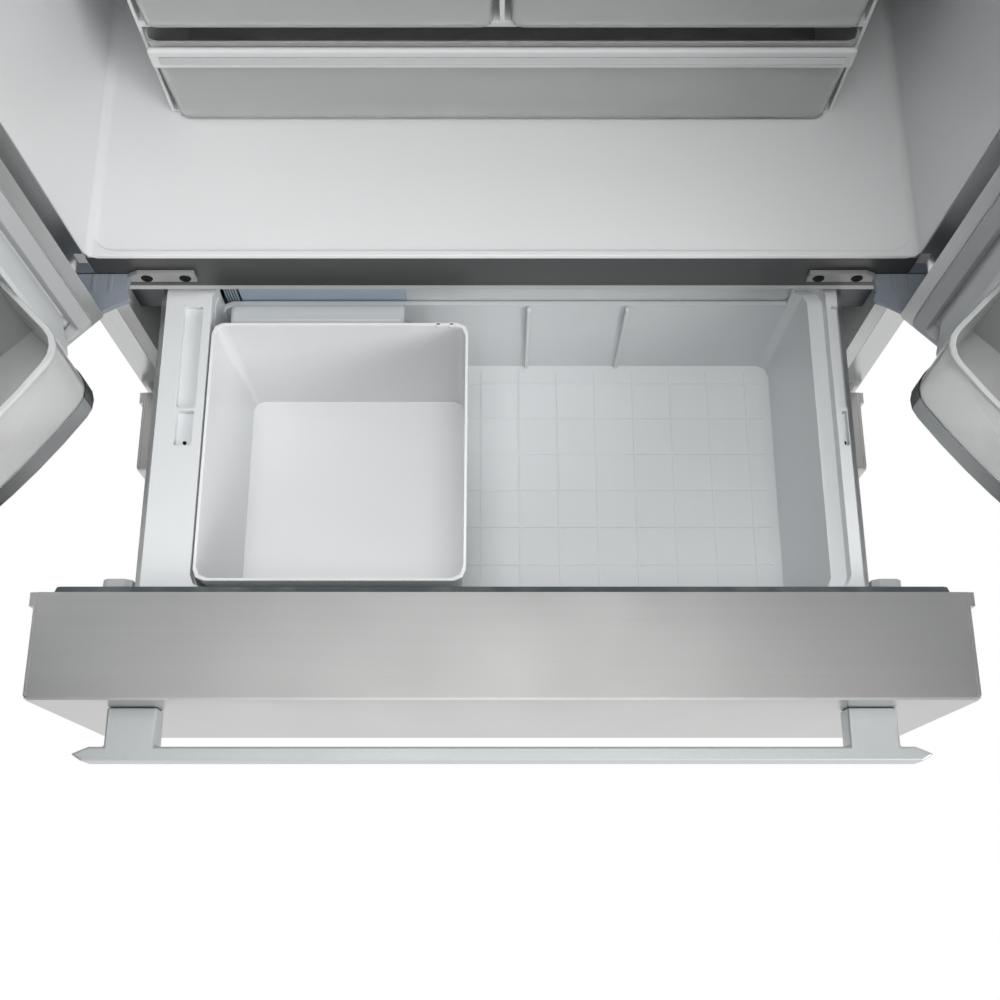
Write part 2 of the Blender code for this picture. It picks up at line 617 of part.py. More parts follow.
def drawer(word, low, high, tub_z, tub_long, ledges, pulled):
    """A drawer front with its gasket, handle and tub; pulled is how far it stands out."""
    rear_y = FRONT - PANEL_REAR - pulled
    face_y = rear_y - PANEL_THICK
    seat_y = FRONT - GAP - pulled
    origin = (0.0, face_y, (low + high) / 2)

    def grown(inset):
        return rect(-HALF - 0.0005 + inset, HALF + 0.0005 - inset, low + inset, high - inset, 0.004)

    front = add(word + "_front_skin", loft([
        at_y(grown(SHEET), face_y + SHEET), at_y(grown(SHEET), rear_y),
        at_y(grown(0.0), rear_y), at_y(grown(0.0), face_y + 0.002), at_y(grown(0.002), face_y),
    ]), "stainless", origin)
    shape(front, word + "_end_tabs", boxes([
        (pair(side, HALF - 0.0003, HALF + 0.005), (rear_y - 0.014, rear_y), (high - 0.016, high - 0.001))
        for side in (-1, 1)
    ]), "UNION")
    pad_y = rear_y + PANEL_REAR - GAP
    pad_half = HALF - SEAL_EDGE - SEAL_WIDE - 0.014
    add(word + "_inner_panel", loft([
        at_y(grown(SHEET + GAP), face_y + SHEET + GAP),
        at_y(grown(SHEET + GAP), rear_y),
        at_y(rect(-pad_half, pad_half, low + 0.024, high - 0.026, 0.012), rear_y),
        at_y(rect(-pad_half + 0.003, pad_half - 0.003, low + 0.027, high - 0.029, 0.012), pad_y),
    ]), "liner", origin)
    seal = HALF - SEAL_EDGE - 0.0015
    seal_in = seal - SEAL_WIDE - 0.002
    soft = 0.002
    add(word + "_gasket", loft([
        at_y(rect(-seal, seal, low + 0.004, high - 0.004, 0.005), rear_y + GAP),
        at_y(rect(-seal + soft, seal - soft, low + 0.004 + soft, high - 0.004 - soft, 0.005), seat_y),
        at_y(rect(-seal_in - soft, seal_in + soft, low + 0.015 - soft, high - 0.018 + soft, 0.005), seat_y),
        at_y(rect(-seal_in, seal_in, low + 0.015, high - 0.018, 0.005), rear_y + GAP),
    ], cyclic=True), "gasket", origin)
    bar_top = high - 0.043
    bar = handle_outline(face_y)
    add(word + "_handle", loft([
        at_z(bar, bar_top - HANDLE_HIGH), at_z(bar, bar_top),
    ]), "handle", origin)

    # Tub: a deep box with ledges along both sides that ride on the slides. Where a ledge's
    # top is narrower than the slide, a shelf just below it spans the rest.
    tub_y = (pad_y + GAP, pad_y + GAP + tub_long)
    top = [TUB_HALF - ledge for ledge in ledges]
    wall = [min(half, TUB_HALF - TUB_LEDGE) for half in top]
    draft = 0.006
    end = 0.004
    ease = 0.0005

    def plan(halves, less, inset):
        return rect(less - halves[0], halves[1] - less, tub_y[0] + inset, tub_y[1] - inset, 0.014)

    ledge_z = tub_z[1] - TUB_LEDGE_THICK
    add(word + "_tub", loft([
        at_z(plan(wall, draft - WALL, draft), tub_z[0]),
        at_z(plan(wall, -WALL, 0.0), ledge_z),
        at_z(plan((TUB_HALF, TUB_HALF), 0.0, 0.0), ledge_z),
        at_z(plan((TUB_HALF, TUB_HALF), 0.0, 0.0), tub_z[1]),
        at_z(plan(top, 0.0, end), tub_z[1]),
        at_z(plan(top, ease, end + ease), ledge_z + WALL),
        at_z(plan(wall, 2 * ease, end + 2 * ease), ledge_z + WALL - ease),
        at_z(plan(wall, draft, draft + WALL), tub_z[0] + WALL),
    ]), "tub", origin)
    return tub_y


upper_y = drawer(
    "upper_drawer", UPPER_LOW, UPPER_HIGH, UPPER_TUB, UPPER_TUB_LONG, UPPER_LEDGE, DRAWER_TRAVEL,
)
drawer("lower_drawer", LOWER_LOW, LOWER_HIGH, LOWER_TUB, LOWER_TUB_LONG, (TUB_LEDGE, TUB_LEDGE), 0.0)

# Ice bin stands in the left of the upper tub.
bin_foot = UPPER_TUB[0] + WALL + GAP
ice_y = (upper_y[0] + ICE_BIN_Y[0], upper_y[0] + ICE_BIN_Y[1])
add("ice_bin", tray(
    ICE_BIN_X, ice_y, (bin_foot, UPPER_TUB[1] - 0.003), 0.003, 0.012, 0.006,
), "ice", (sum(ICE_BIN_X) / 2, sum(ice_y) / 2, bin_foot))

# Full-extension slides under the ledges of the upper tub, in three members.
SLIDE_NEAR = TUB_HALF - TUB_LEDGE + WALL + RUN
MEMBER = 0.0085
SLIDE_Z = (UPPER_TUB[1] - TUB_LEDGE_THICK - 0.046, UPPER_TUB[1] - TUB_LEDGE_THICK - RUN)
for side, word in ((-1, "left"), (1, "right")):
    near = SLIDE_NEAR
    far = near + MEMBER
    start = upper_y[0] + RUN
    member = add("upper_slide_drawer_" + word, box(
        pair(side, near, far), (start, start + UPPER_TUB_LONG - 0.006), SLIDE_Z,
    ), "zinc", (side * near, start, SLIDE_Z[0]))
    hook_top = UPPER_TUB[1] + 0.002
    hook_far = FREEZER_HALF - 0.0095
    hook = [
        (near, SLIDE_Z[0]), (hook_far, SLIDE_Z[0]), (hook_far, hook_top - 0.006),
        (hook_far - 0.005, hook_top), (TUB_HALF + 0.009, hook_top), (TUB_HALF + 0.002, hook_top - 0.006),
        (TUB_HALF + 0.002, SLIDE_Z[1] - 0.008), (near, SLIDE_Z[1] - 0.008),
    ]
    hook_ring = [(side * x, z) for x, z in hook]
    shape(member, "upper_slide_hook_" + word, loft([
        at_y(hook_ring, start), at_y(hook_ring, start + 0.013),
    ]), "UNION")
    near = far + RUN
    far = near + MEMBER
    middle_start = FRONT + 0.018 - DRAWER_TRAVEL / 2
    middle_y = (middle_start, middle_start + UPPER_TUB_LONG + 0.014)
    add("upper_slide_middle_" + word, box(
        pair(side, near, far), middle_y, (SLIDE_Z[0] + 0.004, SLIDE_Z[1] - 0.004),
    ), "zinc", (side * near, middle_y[0], SLIDE_Z[0]))
    near = far + RUN
    add("upper_slide_cabinet_" + word, box(
        pair(side, near, FREEZER_HALF - GAP), (FRONT + 0.0185, FRONT + FREEZER_DEPTH - 0.180), SLIDE_Z,
    ), "zinc")
    low_z = LOWER_TUB[1] - TUB_LEDGE_THICK
    add("lower_slide_cabinet_" + word, box(
        pair(side, SLIDE_NEAR, FREEZER_HALF - GAP), (FRONT + 0.0315, FRONT + STEP_DEPTH - 0.010),
        (low_z - 0.046, low_z - RUN),
    ), "zinc")
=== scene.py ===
"""French door refrigerator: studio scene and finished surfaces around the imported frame.

Metres, +Z up, the refrigerator's front faces -Y.
"""
import json
import math

import bmesh
import bpy
from mathutils import Matrix, Vector


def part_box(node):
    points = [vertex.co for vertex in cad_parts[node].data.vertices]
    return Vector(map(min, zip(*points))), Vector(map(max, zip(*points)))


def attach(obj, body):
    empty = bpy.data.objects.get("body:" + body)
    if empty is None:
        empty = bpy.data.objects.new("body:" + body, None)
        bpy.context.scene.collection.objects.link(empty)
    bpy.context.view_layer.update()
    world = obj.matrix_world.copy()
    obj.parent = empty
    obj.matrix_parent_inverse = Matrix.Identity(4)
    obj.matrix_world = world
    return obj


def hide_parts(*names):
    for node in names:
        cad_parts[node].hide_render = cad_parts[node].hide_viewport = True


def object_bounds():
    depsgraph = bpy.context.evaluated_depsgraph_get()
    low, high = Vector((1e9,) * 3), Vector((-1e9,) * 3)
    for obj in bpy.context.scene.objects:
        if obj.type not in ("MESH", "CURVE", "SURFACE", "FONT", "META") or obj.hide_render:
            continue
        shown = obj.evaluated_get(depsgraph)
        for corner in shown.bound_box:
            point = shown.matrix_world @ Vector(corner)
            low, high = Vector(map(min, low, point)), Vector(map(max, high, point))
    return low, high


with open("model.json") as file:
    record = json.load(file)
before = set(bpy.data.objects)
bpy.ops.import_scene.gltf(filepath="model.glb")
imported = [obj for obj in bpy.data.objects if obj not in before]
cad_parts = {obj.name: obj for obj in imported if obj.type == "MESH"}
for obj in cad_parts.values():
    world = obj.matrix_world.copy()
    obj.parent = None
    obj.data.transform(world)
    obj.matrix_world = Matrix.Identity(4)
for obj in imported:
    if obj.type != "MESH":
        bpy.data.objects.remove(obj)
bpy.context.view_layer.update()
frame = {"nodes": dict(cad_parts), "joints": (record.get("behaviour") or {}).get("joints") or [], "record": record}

# ------------------------------------------------------------------ camera and studio
# The refrigerator is seen from above its open upper drawer, from just in front of the doors.
# It stands on a plain pale floor, under soft boxes overhead and at the front.

front_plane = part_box("mullion_front_rail")[0].y
drawer_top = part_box("upper_drawer_front_skin")[1].z

camera_data = bpy.data.cameras.new("camera")
camera_data.lens = 44.6
camera_data.sensor_width = 36.0
camera = bpy.data.objects.new("camera", camera_data)
camera.location = (-0.002, front_plane - 0.634, drawer_top + 1.167)
camera.rotation_euler = (math.radians(18.5), 0.0, 0.0)
bpy.context.scene.collection.objects.link(camera)
bpy.context.scene.camera = camera
bpy.context.scene.view_settings.view_transform = "Standard"


def soft_box(name, place, target, width, height, power, mirrored=True):
    """An area lamp aimed at a point; reflections may leave it out."""
    lamp = bpy.data.lights.new(name, "AREA")
    lamp.shape = "RECTANGLE"
    lamp.size = width
    lamp.size_y = height
    lamp.energy = power
    holder = bpy.data.objects.new(name, lamp)
    holder.location = place
    aim = Vector(target) - Vector(place)
    holder.rotation_euler = aim.to_track_quat("-Z", "Y").to_euler()
    holder.visible_glossy = mirrored
    bpy.context.scene.collection.objects.link(holder)


soft_box("soft_box_overhead", (0.0, -0.35, 3.4), (0.0, -0.35, 0.0), 1.3, 2.2, 63.0, False)
soft_box("soft_box_right", (2.6, -2.3, 2.3), (-0.3, -0.3, 0.8), 1.6, 1.6, 62.0)
soft_box("soft_box_left", (-2.6, -2.6, 1.6), (0.2, -0.3, 0.7), 1.6, 1.6, 2.0)

# White all round as seen; dimmer from the left as a light. Reflections from above meet a
# bright middle with black flags at both sides, and those from below an even glow.
world = bpy.data.worlds.new("studio")
world.use_nodes = True
sky = world.node_tree
heading = sky.nodes.new("ShaderNodeTexCoord")
parts = sky.nodes.new("ShaderNodeSeparateXYZ")
rays = sky.nodes.new("ShaderNodeLightPath")
sideways = sky.nodes.new("ShaderNodeMath")
sideways.operation = "ABSOLUTE"
sky.links.new(heading.outputs["Generated"], parts.inputs["Vector"])
sky.links.new(parts.outputs["X"], sideways.inputs[0])


def sky_light(driver, start, end, first, last):
    """A white background; its strength runs from first to last as the driver runs start to end."""
    ramp = sky.nodes.new("ShaderNodeMapRange")
    ramp.interpolation_type = "SMOOTHSTEP"
    for label, value in (("From Min", start), ("From Max", end), ("To Min", first), ("To Max", last)):
        ramp.inputs[label].default_value = value
    glow = sky.nodes.new("ShaderNodeBackground")
    sky.links.new(driver, ramp.inputs["Value"])
    sky.links.new(ramp.outputs["Result"], glow.inputs["Strength"])
    return glow.outputs["Background"]


def choose(factor, first, second):
    """The first background where the factor is 0, the second where it is 1."""
    pick = sky.nodes.new("ShaderNodeMixShader")
    sky.links.new(factor, pick.inputs["Fac"])
    sky.links.new(first, pick.inputs[1])
    sky.links.new(second, pick.inputs[2])
    return pick.outputs["Shader"]


seen = sky.nodes["Background"]
seen.inputs["Color"].default_value = (1.0, 1.0, 1.0, 1.0)
seen.inputs["Strength"].default_value = 1.0
upward = sky.nodes.new("ShaderNodeMath")
upward.operation = "GREATER_THAN"
sky.links.new(parts.outputs["Z"], upward.inputs[0])
upward.inputs[1].default_value = 0.0
lighting = sky_light(parts.outputs["X"], -0.40, 0.80, 0.07, 1.30)
mirrored = choose(
    upward.outputs[0],
    sky_light(sideways.outputs[0], 0.02, 0.55, 1.18, 1.08),
    sky_light(sideways.outputs[0], 0.09, 0.43, 1.72, 0.0),
)
lighting = choose(rays.outputs["Is Glossy Ray"], lighting, mirrored)
sky.links.new(choose(rays.outputs["Is Camera Ray"], lighting, seen.outputs["Background"]),
              sky.nodes["World Output"].inputs["Surface"])
bpy.context.scene.world = world

floor_mesh = bmesh.new()
bmesh.ops.create_grid(floor_mesh, x_segments=1, y_segments=1, size=9.0)
floor_data = bpy.data.meshes.new("studio_floor")
floor_mesh.to_mesh(floor_data)
floor_mesh.free()
floor = bpy.data.objects.new("studio_floor", floor_data)
floor.location.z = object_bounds()[0][2] - 0.0005
bpy.context.scene.collection.objects.link(floor)
floor_paint = bpy.data.materials.new("studio_floor_paint")
floor_paint.use_nodes = True
floor_shader = floor_paint.node_tree.nodes["Principled BSDF"]
floor_shader.inputs["Base Color"].default_value = (0.93, 0.93, 0.93, 1.0)
floor_shader.inputs["Roughness"].default_value = 0.9
floor_data.materials.append(floor_paint)
floor.visible_camera = False
floor.visible_glossy = False

# ------------------------------------------------------------------ shared surface effects
# Effects that several finishes share: brushing left by a belt, the fine grain of a mould,
# marks from wiping and handling, bright worn edges, and dust that settles on ledges.


def effect_group(name, inputs, outputs):
    """An empty node group with its sockets; returns the tree and its two end nodes."""
    tree = bpy.data.node_groups.new(name, "ShaderNodeTree")
    for label, kind, value in inputs:
        socket = tree.interface.new_socket(label, in_out="INPUT", socket_type=kind)
        socket.default_value = value
    for label, kind in outputs:
        tree.interface.new_socket(label, in_out="OUTPUT", socket_type=kind)
    return tree, tree.nodes.new("NodeGroupInput"), tree.nodes.new("NodeGroupOutput")


def math_node(tree, operation, first, second):
    """A Math node on two values or sockets."""
    node = tree.nodes.new("ShaderNodeMath")
    node.operation = operation
    for socket, value in zip(node.inputs, (first, second)):
        if isinstance(value, bpy.types.NodeSocket):
            tree.links.new(value, socket)
        else:
            socket.default_value = value
    return node.outputs[0]


def noise_on_object(tree, stretch, scale, detail):
    """Noise on Object coordinates; stretch and scale may be sockets."""
    place = tree.nodes.new("ShaderNodeTexCoord")
    mapping = tree.nodes.new("ShaderNodeMapping")
    noise = tree.nodes.new("ShaderNodeTexNoise")
    tree.links.new(place.outputs["Object"], mapping.inputs["Vector"])
    tree.links.new(mapping.outputs["Vector"], noise.inputs["Vector"])
    for socket, value in ((mapping.inputs["Scale"], stretch), (noise.inputs["Scale"], scale)):
        if isinstance(value, bpy.types.NodeSocket):
            tree.links.new(value, socket)
        else:
            socket.default_value = value
    noise.inputs["Detail"].default_value = detail
    return noise.outputs["Fac"]


brushing, ends_in, ends_out = effect_group(
    "brushed_lines",
    [("Stretch", "NodeSocketVector", (3.0, 700.0, 700.0)), ("Depth", "NodeSocketFloat", 0.25)],
    [("Tone", "NodeSocketFloat"), ("Height", "NodeSocketFloat")],
)
fine = noise_on_object(brushing, ends_in.outputs["Stretch"], 1.0, 2.0)
coarse = noise_on_object(brushing, ends_in.outputs["Stretch"], 0.23, 1.0)
lines = math_node(brushing, "ADD", math_node(brushing, "MULTIPLY", fine, 0.6),
                  math_node(brushing, "MULTIPLY", coarse, 0.4))
centred = math_node(brushing, "SUBTRACT", lines, 0.5)
toned = math_node(brushing, "MULTIPLY", centred, ends_in.outputs["Depth"])
brushing.links.new(math_node(brushing, "ADD", toned, 0.5), ends_out.inputs["Tone"])
brushing.links.new(lines, ends_out.inputs["Height"])

moulding, ends_in, ends_out = effect_group(
    "mould_grain",
    [("Fineness", "NodeSocketFloat", 900.0), ("Clouding", "NodeSocketFloat", 0.1)],
    [("Tone", "NodeSocketFloat"), ("Height", "NodeSocketFloat")],
)
grain = noise_on_object(moulding, (1.0, 1.0, 1.0), ends_in.outputs["Fineness"], 3.0)
clouds = noise_on_object(moulding, (1.0, 1.0, 1.0), 4.5, 2.0)
flow = math_node(moulding, "SUBTRACT", clouds, 0.5)
flow = math_node(moulding, "MULTIPLY", flow, ends_in.outputs["Clouding"])
moulding.links.new(math_node(moulding, "ADD", flow, 0.5), ends_out.inputs["Tone"])
moulding.links.new(grain, ends_out.inputs["Height"])

wiping, ends_in, ends_out = effect_group(
    "wipe_marks",
    [("Base", "NodeSocketFloat", 0.35), ("Spread", "NodeSocketFloat", 0.12)],
    [("Roughness", "NodeSocketFloat")],
)
smears = noise_on_object(wiping, (5.0, 5.0, 2.0), 2.4, 4.0)
spread = math_node(wiping, "SUBTRACT", smears, 0.5)
spread = math_node(wiping, "MULTIPLY", spread, ends_in.outputs["Spread"])
roughness = math_node(wiping, "ADD", spread, ends_in.outputs["Base"])
wiping.links.new(roughness, ends_out.inputs["Roughness"])

wearing, ends_in, ends_out = effect_group(
    "worn_edges", [("Amount", "NodeSocketFloat", 0.5)], [("Mask", "NodeSocketFloat")],
)
shape_node = wearing.nodes.new("ShaderNodeNewGeometry")
rounded = wearing.nodes.new("ShaderNodeBevel")
rounded.samples = 2
rounded.inputs["Radius"].default_value = 0.0016
agreement = wearing.nodes.new("ShaderNodeVectorMath")
agreement.operation = "DOT_PRODUCT"
wearing.links.new(rounded.outputs["Normal"], agreement.inputs[0])
wearing.links.new(shape_node.outputs["Normal"], agreement.inputs[1])
sharp = math_node(wearing, "SUBTRACT", 1.0, agreement.outputs["Value"])
sharp = math_node(wearing, "MULTIPLY", sharp, 6.0)
broken = math_node(wearing, "MULTIPLY", sharp, noise_on_object(wearing, (1.0, 1.0, 1.0), 60.0, 2.0))
amount = math_node(wearing, "MULTIPLY", broken, ends_in.outputs["Amount"])
amount = math_node(wearing, "MAXIMUM", amount, 0.0)
wearing.links.new(math_node(wearing, "MINIMUM", amount, 1.0), ends_out.inputs["Mask"])

settling, ends_in, ends_out = effect_group(
    "settled_dust", [("Amount", "NodeSocketFloat", 0.2)], [("Mask", "NodeSocketFloat")],
)
shape_node = settling.nodes.new("ShaderNodeNewGeometry")
split = settling.nodes.new("ShaderNodeSeparateXYZ")
settling.links.new(shape_node.outputs["Normal"], split.inputs["Vector"])
facing_up = math_node(settling, "MAXIMUM", split.outputs["Z"], 0.0)
specks = noise_on_object(settling, (1.0, 1.0, 1.0), 35.0, 5.0)
specks = math_node(settling, "MAXIMUM", math_node(settling, "SUBTRACT", specks, 0.45), 0.0)
drift = math_node(settling, "MULTIPLY", facing_up, specks)
drift = math_node(settling, "MULTIPLY", drift, ends_in.outputs["Amount"])
settling.links.new(drift, ends_out.inputs["Mask"])


def add_effect(material, group, **values):
    """Places an effect group in a material and sets its inputs."""
    node = material.node_tree.nodes.new("ShaderNodeGroup")
    node.node_tree = group
    for label, value in values.items():
        node.inputs[label].default_value = value
    return node


def mix_colour(material, factor, dark, light):
    """A colour that runs from dark to light as the factor goes from 0 to 1."""
    tree = material.node_tree
    node = tree.nodes.new("ShaderNodeMix")
    node.data_type = "RGBA"
    tree.links.new(factor, node.inputs["Factor"])
    for socket, value in ((node.inputs["A"], dark), (node.inputs["B"], light)):
        if isinstance(value, bpy.types.NodeSocket):
            tree.links.new(value, socket)
        else:
            socket.default_value = (*value, 1.0)
    return node.outputs["Result"]


def new_finish(name, metallic=0.0, **sockets):
    """A material with its Principled shader; other sockets are set by their names."""
    material = bpy.data.materials.new(name)
    material.use_nodes = True
    shader = material.node_tree.nodes["Principled BSDF"]
    shader.inputs["Metallic"].default_value = metallic
    for label, value in sockets.items():
        shader.inputs[label.replace("_", " ")].default_value = value
    return material, shader


def raise_height(material, shader, height, strength, distance):
    """Feeds a height to the shader's normal through a Bump node."""
    tree = material.node_tree
    bump = tree.nodes.new("ShaderNodeBump")
    bump.inputs["Strength"].default_value = strength
    bump.inputs["Distance"].default_value = distance
    tree.links.new(height, bump.inputs["Height"])
    tree.links.new(bump.outputs["Normal"], shader.inputs["Normal"])


def scaled(colour, factor):
    """A colour made lighter or darker."""
    return tuple(min(1.0, channel * factor) for channel in colour)


def brushed_metal(name, colour, stretch, roughness, depth=0.5, dust=0.0, metallic=1.0):
    """Metal with belt-brushed lines, wipe marks and bright edges."""
    material, shader = new_finish(name, metallic)
    tree = material.node_tree
    lines = add_effect(material, brushing, Stretch=stretch, Depth=depth)
    worn = add_effect(material, wearing, Amount=0.5)
    base = mix_colour(material, lines.outputs["Tone"], scaled(colour, 0.82), scaled(colour, 1.18))
    base = mix_colour(material, worn.outputs["Mask"], base, scaled(colour, 1.35))
    if dust:
        film = add_effect(material, settling, Amount=dust)
        base = mix_colour(material, film.outputs["Mask"], base, (0.55, 0.54, 0.52))
    tree.links.new(base, shader.inputs["Base Color"])
    wipe = add_effect(material, wiping, Base=roughness, Spread=0.10)
    tree.links.new(wipe.outputs["Roughness"], shader.inputs["Roughness"])
    raise_height(material, shader, lines.outputs["Height"], 0.06, 0.0002)
    return material


def moulded_plastic(name, colour, roughness, fineness=900.0, grain=0.10, clouding=0.5, dust=0.0,
                    **sockets):
    """Plastic from a mould: fine surface grain, slight clouding, wipe marks."""
    material, shader = new_finish(name, 0.0, **sockets)
    tree = material.node_tree
    skin = add_effect(material, moulding, Fineness=fineness, Clouding=clouding)
    worn = add_effect(material, wearing, Amount=0.25)
    base = mix_colour(material, skin.outputs["Tone"], scaled(colour, 0.90), scaled(colour, 1.10))
    base = mix_colour(material, worn.outputs["Mask"], base, scaled(colour, 1.15))
    if dust:
        film = add_effect(material, settling, Amount=dust)
        base = mix_colour(material, film.outputs["Mask"], base, (0.50, 0.49, 0.47))
    tree.links.new(base, shader.inputs["Base Color"])
    wipe = add_effect(material, wiping, Base=roughness, Spread=0.08)
    tree.links.new(wipe.outputs["Roughness"], shader.inputs["Roughness"])
    raise_height(material, shader, skin.outputs["Height"], grain, 0.0002)
    return material


def clear_moulding(name, colour, roughness, transmission):
    """Clear plastic or glass: plain transmission, with fine flow lines and wipe marks."""
    material, shader = new_finish(name, 0.0, IOR=1.47, Transmission_Weight=transmission)
    tree = material.node_tree
    skin = add_effect(material, moulding, Fineness=60.0, Clouding=0.3)
    base = mix_colour(material, skin.outputs["Tone"], scaled(colour, 0.96), scaled(colour, 1.04))
    tree.links.new(base, shader.inputs["Base Color"])
    wipe = add_effect(material, wiping, Base=roughness, Spread=0.05)
    tree.links.new(wipe.outputs["Roughness"], shader.inputs["Roughness"])
    raise_height(material, shader, skin.outputs["Height"], 0.03, 0.0005)
    return material


# ------------------------------------------------------------------ cabinet
# The cabinet is a bent sheet-steel wrapper, painted satin grey, with a flange folded in around
# the front opening. A zinc-plated panel closes the back, and a pan closes the base.


def keep_smooth(mesh, angle=32.0):
    """Smooth shading that breaks at corners."""
    for polygon in mesh.polygons:
        polygon.use_smooth = True
    mesh.set_sharp_from_angle(angle=math.radians(angle))


def as_piece(name, bm, finish, body):
    """Turns a bmesh into a piece with a finish that rides on a body."""
    mesh = bpy.data.meshes.new(name)
    bm.to_mesh(mesh)
    bm.free()
    keep_smooth(mesh)
    mesh.materials.append(finish)
    piece = bpy.data.objects.new(name, mesh)
    bpy.context.scene.collection.objects.link(piece)
    flatten = piece.modifiers.new("weighted_normals", "WEIGHTED_NORMAL")
    flatten.keep_sharp = True
    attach(piece, body)
    return piece


def merged_copy(node):
    """A bmesh of a frame node with its doubles merged and flat faces joined."""
    bm = bmesh.new()
    bm.from_mesh(frame["nodes"][node].data)
    bmesh.ops.remove_doubles(bm, verts=bm.verts, dist=0.00002)
    bmesh.ops.dissolve_limit(bm, angle_limit=math.radians(1.0), verts=bm.verts, edges=bm.edges)
    return bm


def ease_edges(bm, width, segments=3, angle=30.0, choose=None):
    """Rounds the edges that are sharper than the angle."""
    limit = math.radians(angle)
    edges = [
        edge for edge in bm.edges
        if edge.is_manifold and edge.calc_face_angle(0.0) > limit and (choose is None or choose(edge))
    ]
    bmesh.ops.bevel(
        bm, geom=edges, offset=width, segments=segments, profile=0.5, material=-1,
        affect="EDGES", clamp_overlap=True,
    )


def body_of(node):
    """The moving body that a frame node belongs to."""
    for body, members in frame["record"]["behaviour"]["bodies"].items():
        if node in members:
            return body
    raise ValueError(node)


def dress(node, finish, ease=0.0, segments=3, choose=None):
    """A finished copy of a frame node with eased edges, in place of the plain one."""
    bm = merged_copy(node)
    if ease:
        ease_edges(bm, ease, segments, choose=choose)
    piece = as_piece(node + "_finished", bm, finish, body_of(node))
    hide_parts(node)
    return piece


def coat(node, finish):
    """Gives a frame node its finish as it is."""
    data = frame["nodes"][node].data
    data.materials.clear()
    data.materials.append(finish)


def paint_faces(piece, finish, chosen):
    """A second finish on the faces that the test picks."""
    piece.data.materials.append(finish)
    for polygon in piece.data.polygons:
        if chosen(polygon):
            polygon.material_index = 1


cabinet_paint = moulded_plastic(
    "cabinet_paint", (0.36, 0.37, 0.38), 0.34, fineness=500.0, grain=0.16, clouding=0.3, dust=0.5,
    Coat_Weight=0.25, Coat_Roughness=0.2,
)
flange_steel = brushed_metal("flange_steel", (0.56, 0.57, 0.57), (300.0, 300.0, 2.0), 0.22, 0.35)
zinc_plate = brushed_metal("zinc_plate", (0.50, 0.51, 0.52), (40.0, 40.0, 40.0), 0.42, 0.8, dust=0.8)

cabinet_shell = dress("cabinet_wrapper", flange_steel, 0.0006, 2)
paint_faces(cabinet_shell, cabinet_paint, lambda polygon: abs(polygon.normal.y) < 0.6)
coat("base_pan", zinc_plate)


def add_block(bm, low, high, ease=0.0, segments=2):
    """An eased block between two corners."""
    low, high = Vector(low), Vector(high)
    made = bmesh.ops.create_cube(bm, size=1.0)
    verts = made["verts"]
    bmesh.ops.scale(bm, verts=verts, vec=high - low)
    bmesh.ops.translate(bm, verts=verts, vec=(high + low) / 2)
    if ease:
        edges = list({edge for vert in verts for edge in vert.link_edges})
        bmesh.ops.bevel(
            bm, geom=edges, offset=ease, segments=segments, profile=0.5, material=-1,
            affect="EDGES", clamp_overlap=True,
        )


def add_screw(bm, centre, radius, normal):
    """A countersunk screw head with a round recess."""
    turn = Vector(normal).to_track_quat("Z", "Y").to_matrix().to_4x4()
    place = Matrix.Translation(centre) @ turn
    made = bmesh.ops.create_cone(
        bm, cap_ends=True, segments=24, radius1=radius, radius2=radius * 0.86, depth=0.0012,
        matrix=place,
    )
    tops = [
        face for face in {f for v in made["verts"] for f in v.link_faces}
        if face.normal.dot(Vector(normal)) > 0.9
    ]
    bmesh.ops.inset_region(bm, faces=tops, thickness=radius * 0.38, depth=0.0)
    bmesh.ops.inset_region(bm, faces=tops, thickness=radius * 0.10, depth=-0.0008)


def add_prism(bm, low, high, radius, segments=6):
    """A block whose upright corners are rounded."""
    ring = []
    for corner_x, corner_y, start in ((high[0], high[1], 0), (low[0], high[1], 90),
                                      (low[0], low[1], 180), (high[0], low[1], 270)):
        middle_x = corner_x - math.copysign(radius, corner_x - (low[0] + high[0]) / 2)
        middle_y = corner_y - math.copysign(radius, corner_y - (low[1] + high[1]) / 2)
        for step in range(segments + 1):
            turn = math.radians(start + 90.0 * step / segments)
            ring.append((middle_x + radius * math.cos(turn), middle_y + radius * math.sin(turn)))
    bottom = [bm.verts.new((x, y, low[2])) for x, y in ring]
    top = [bm.verts.new((x, y, high[2])) for x, y in ring]
    bm.faces.new(bottom[::-1])
    bm.faces.new(top)
    for i in range(len(ring)):
        j = (i + 1) % len(ring)
        bm.faces.new((bottom[i], bottom[j], top[j], top[i]))


def carved(bm, cutter):
    """The first body with the second cut out of it; both bmeshes are used up."""
    pair = []
    for name, part in (("work", bm), ("cutter", cutter)):
        mesh = bpy.data.meshes.new(name)
        part.to_mesh(mesh)
        part.free()
        holder = bpy.data.objects.new(name, mesh)
        bpy.context.scene.collection.objects.link(holder)
        pair.append(holder)
    step = pair[0].modifiers.new("cut", "BOOLEAN")
    step.operation = "DIFFERENCE"
    step.solver = "EXACT"
    step.object = pair[1]
    graph = bpy.context.evaluated_depsgraph_get()
    result = bmesh.new()
    result.from_mesh(pair[0].evaluated_get(graph).to_mesh())
    for holder in pair:
        mesh = holder.data
        bpy.data.objects.remove(holder)
        bpy.data.meshes.remove(mesh)
    bmesh.ops.remove_doubles(result, verts=result.verts, dist=0.00002)
    bmesh.ops.dissolve_limit(
        result, angle_limit=math.radians(1.0), verts=result.verts, edges=result.edges,
    )
    bmesh.ops.connect_verts_concave(result, faces=result.faces)
    return result


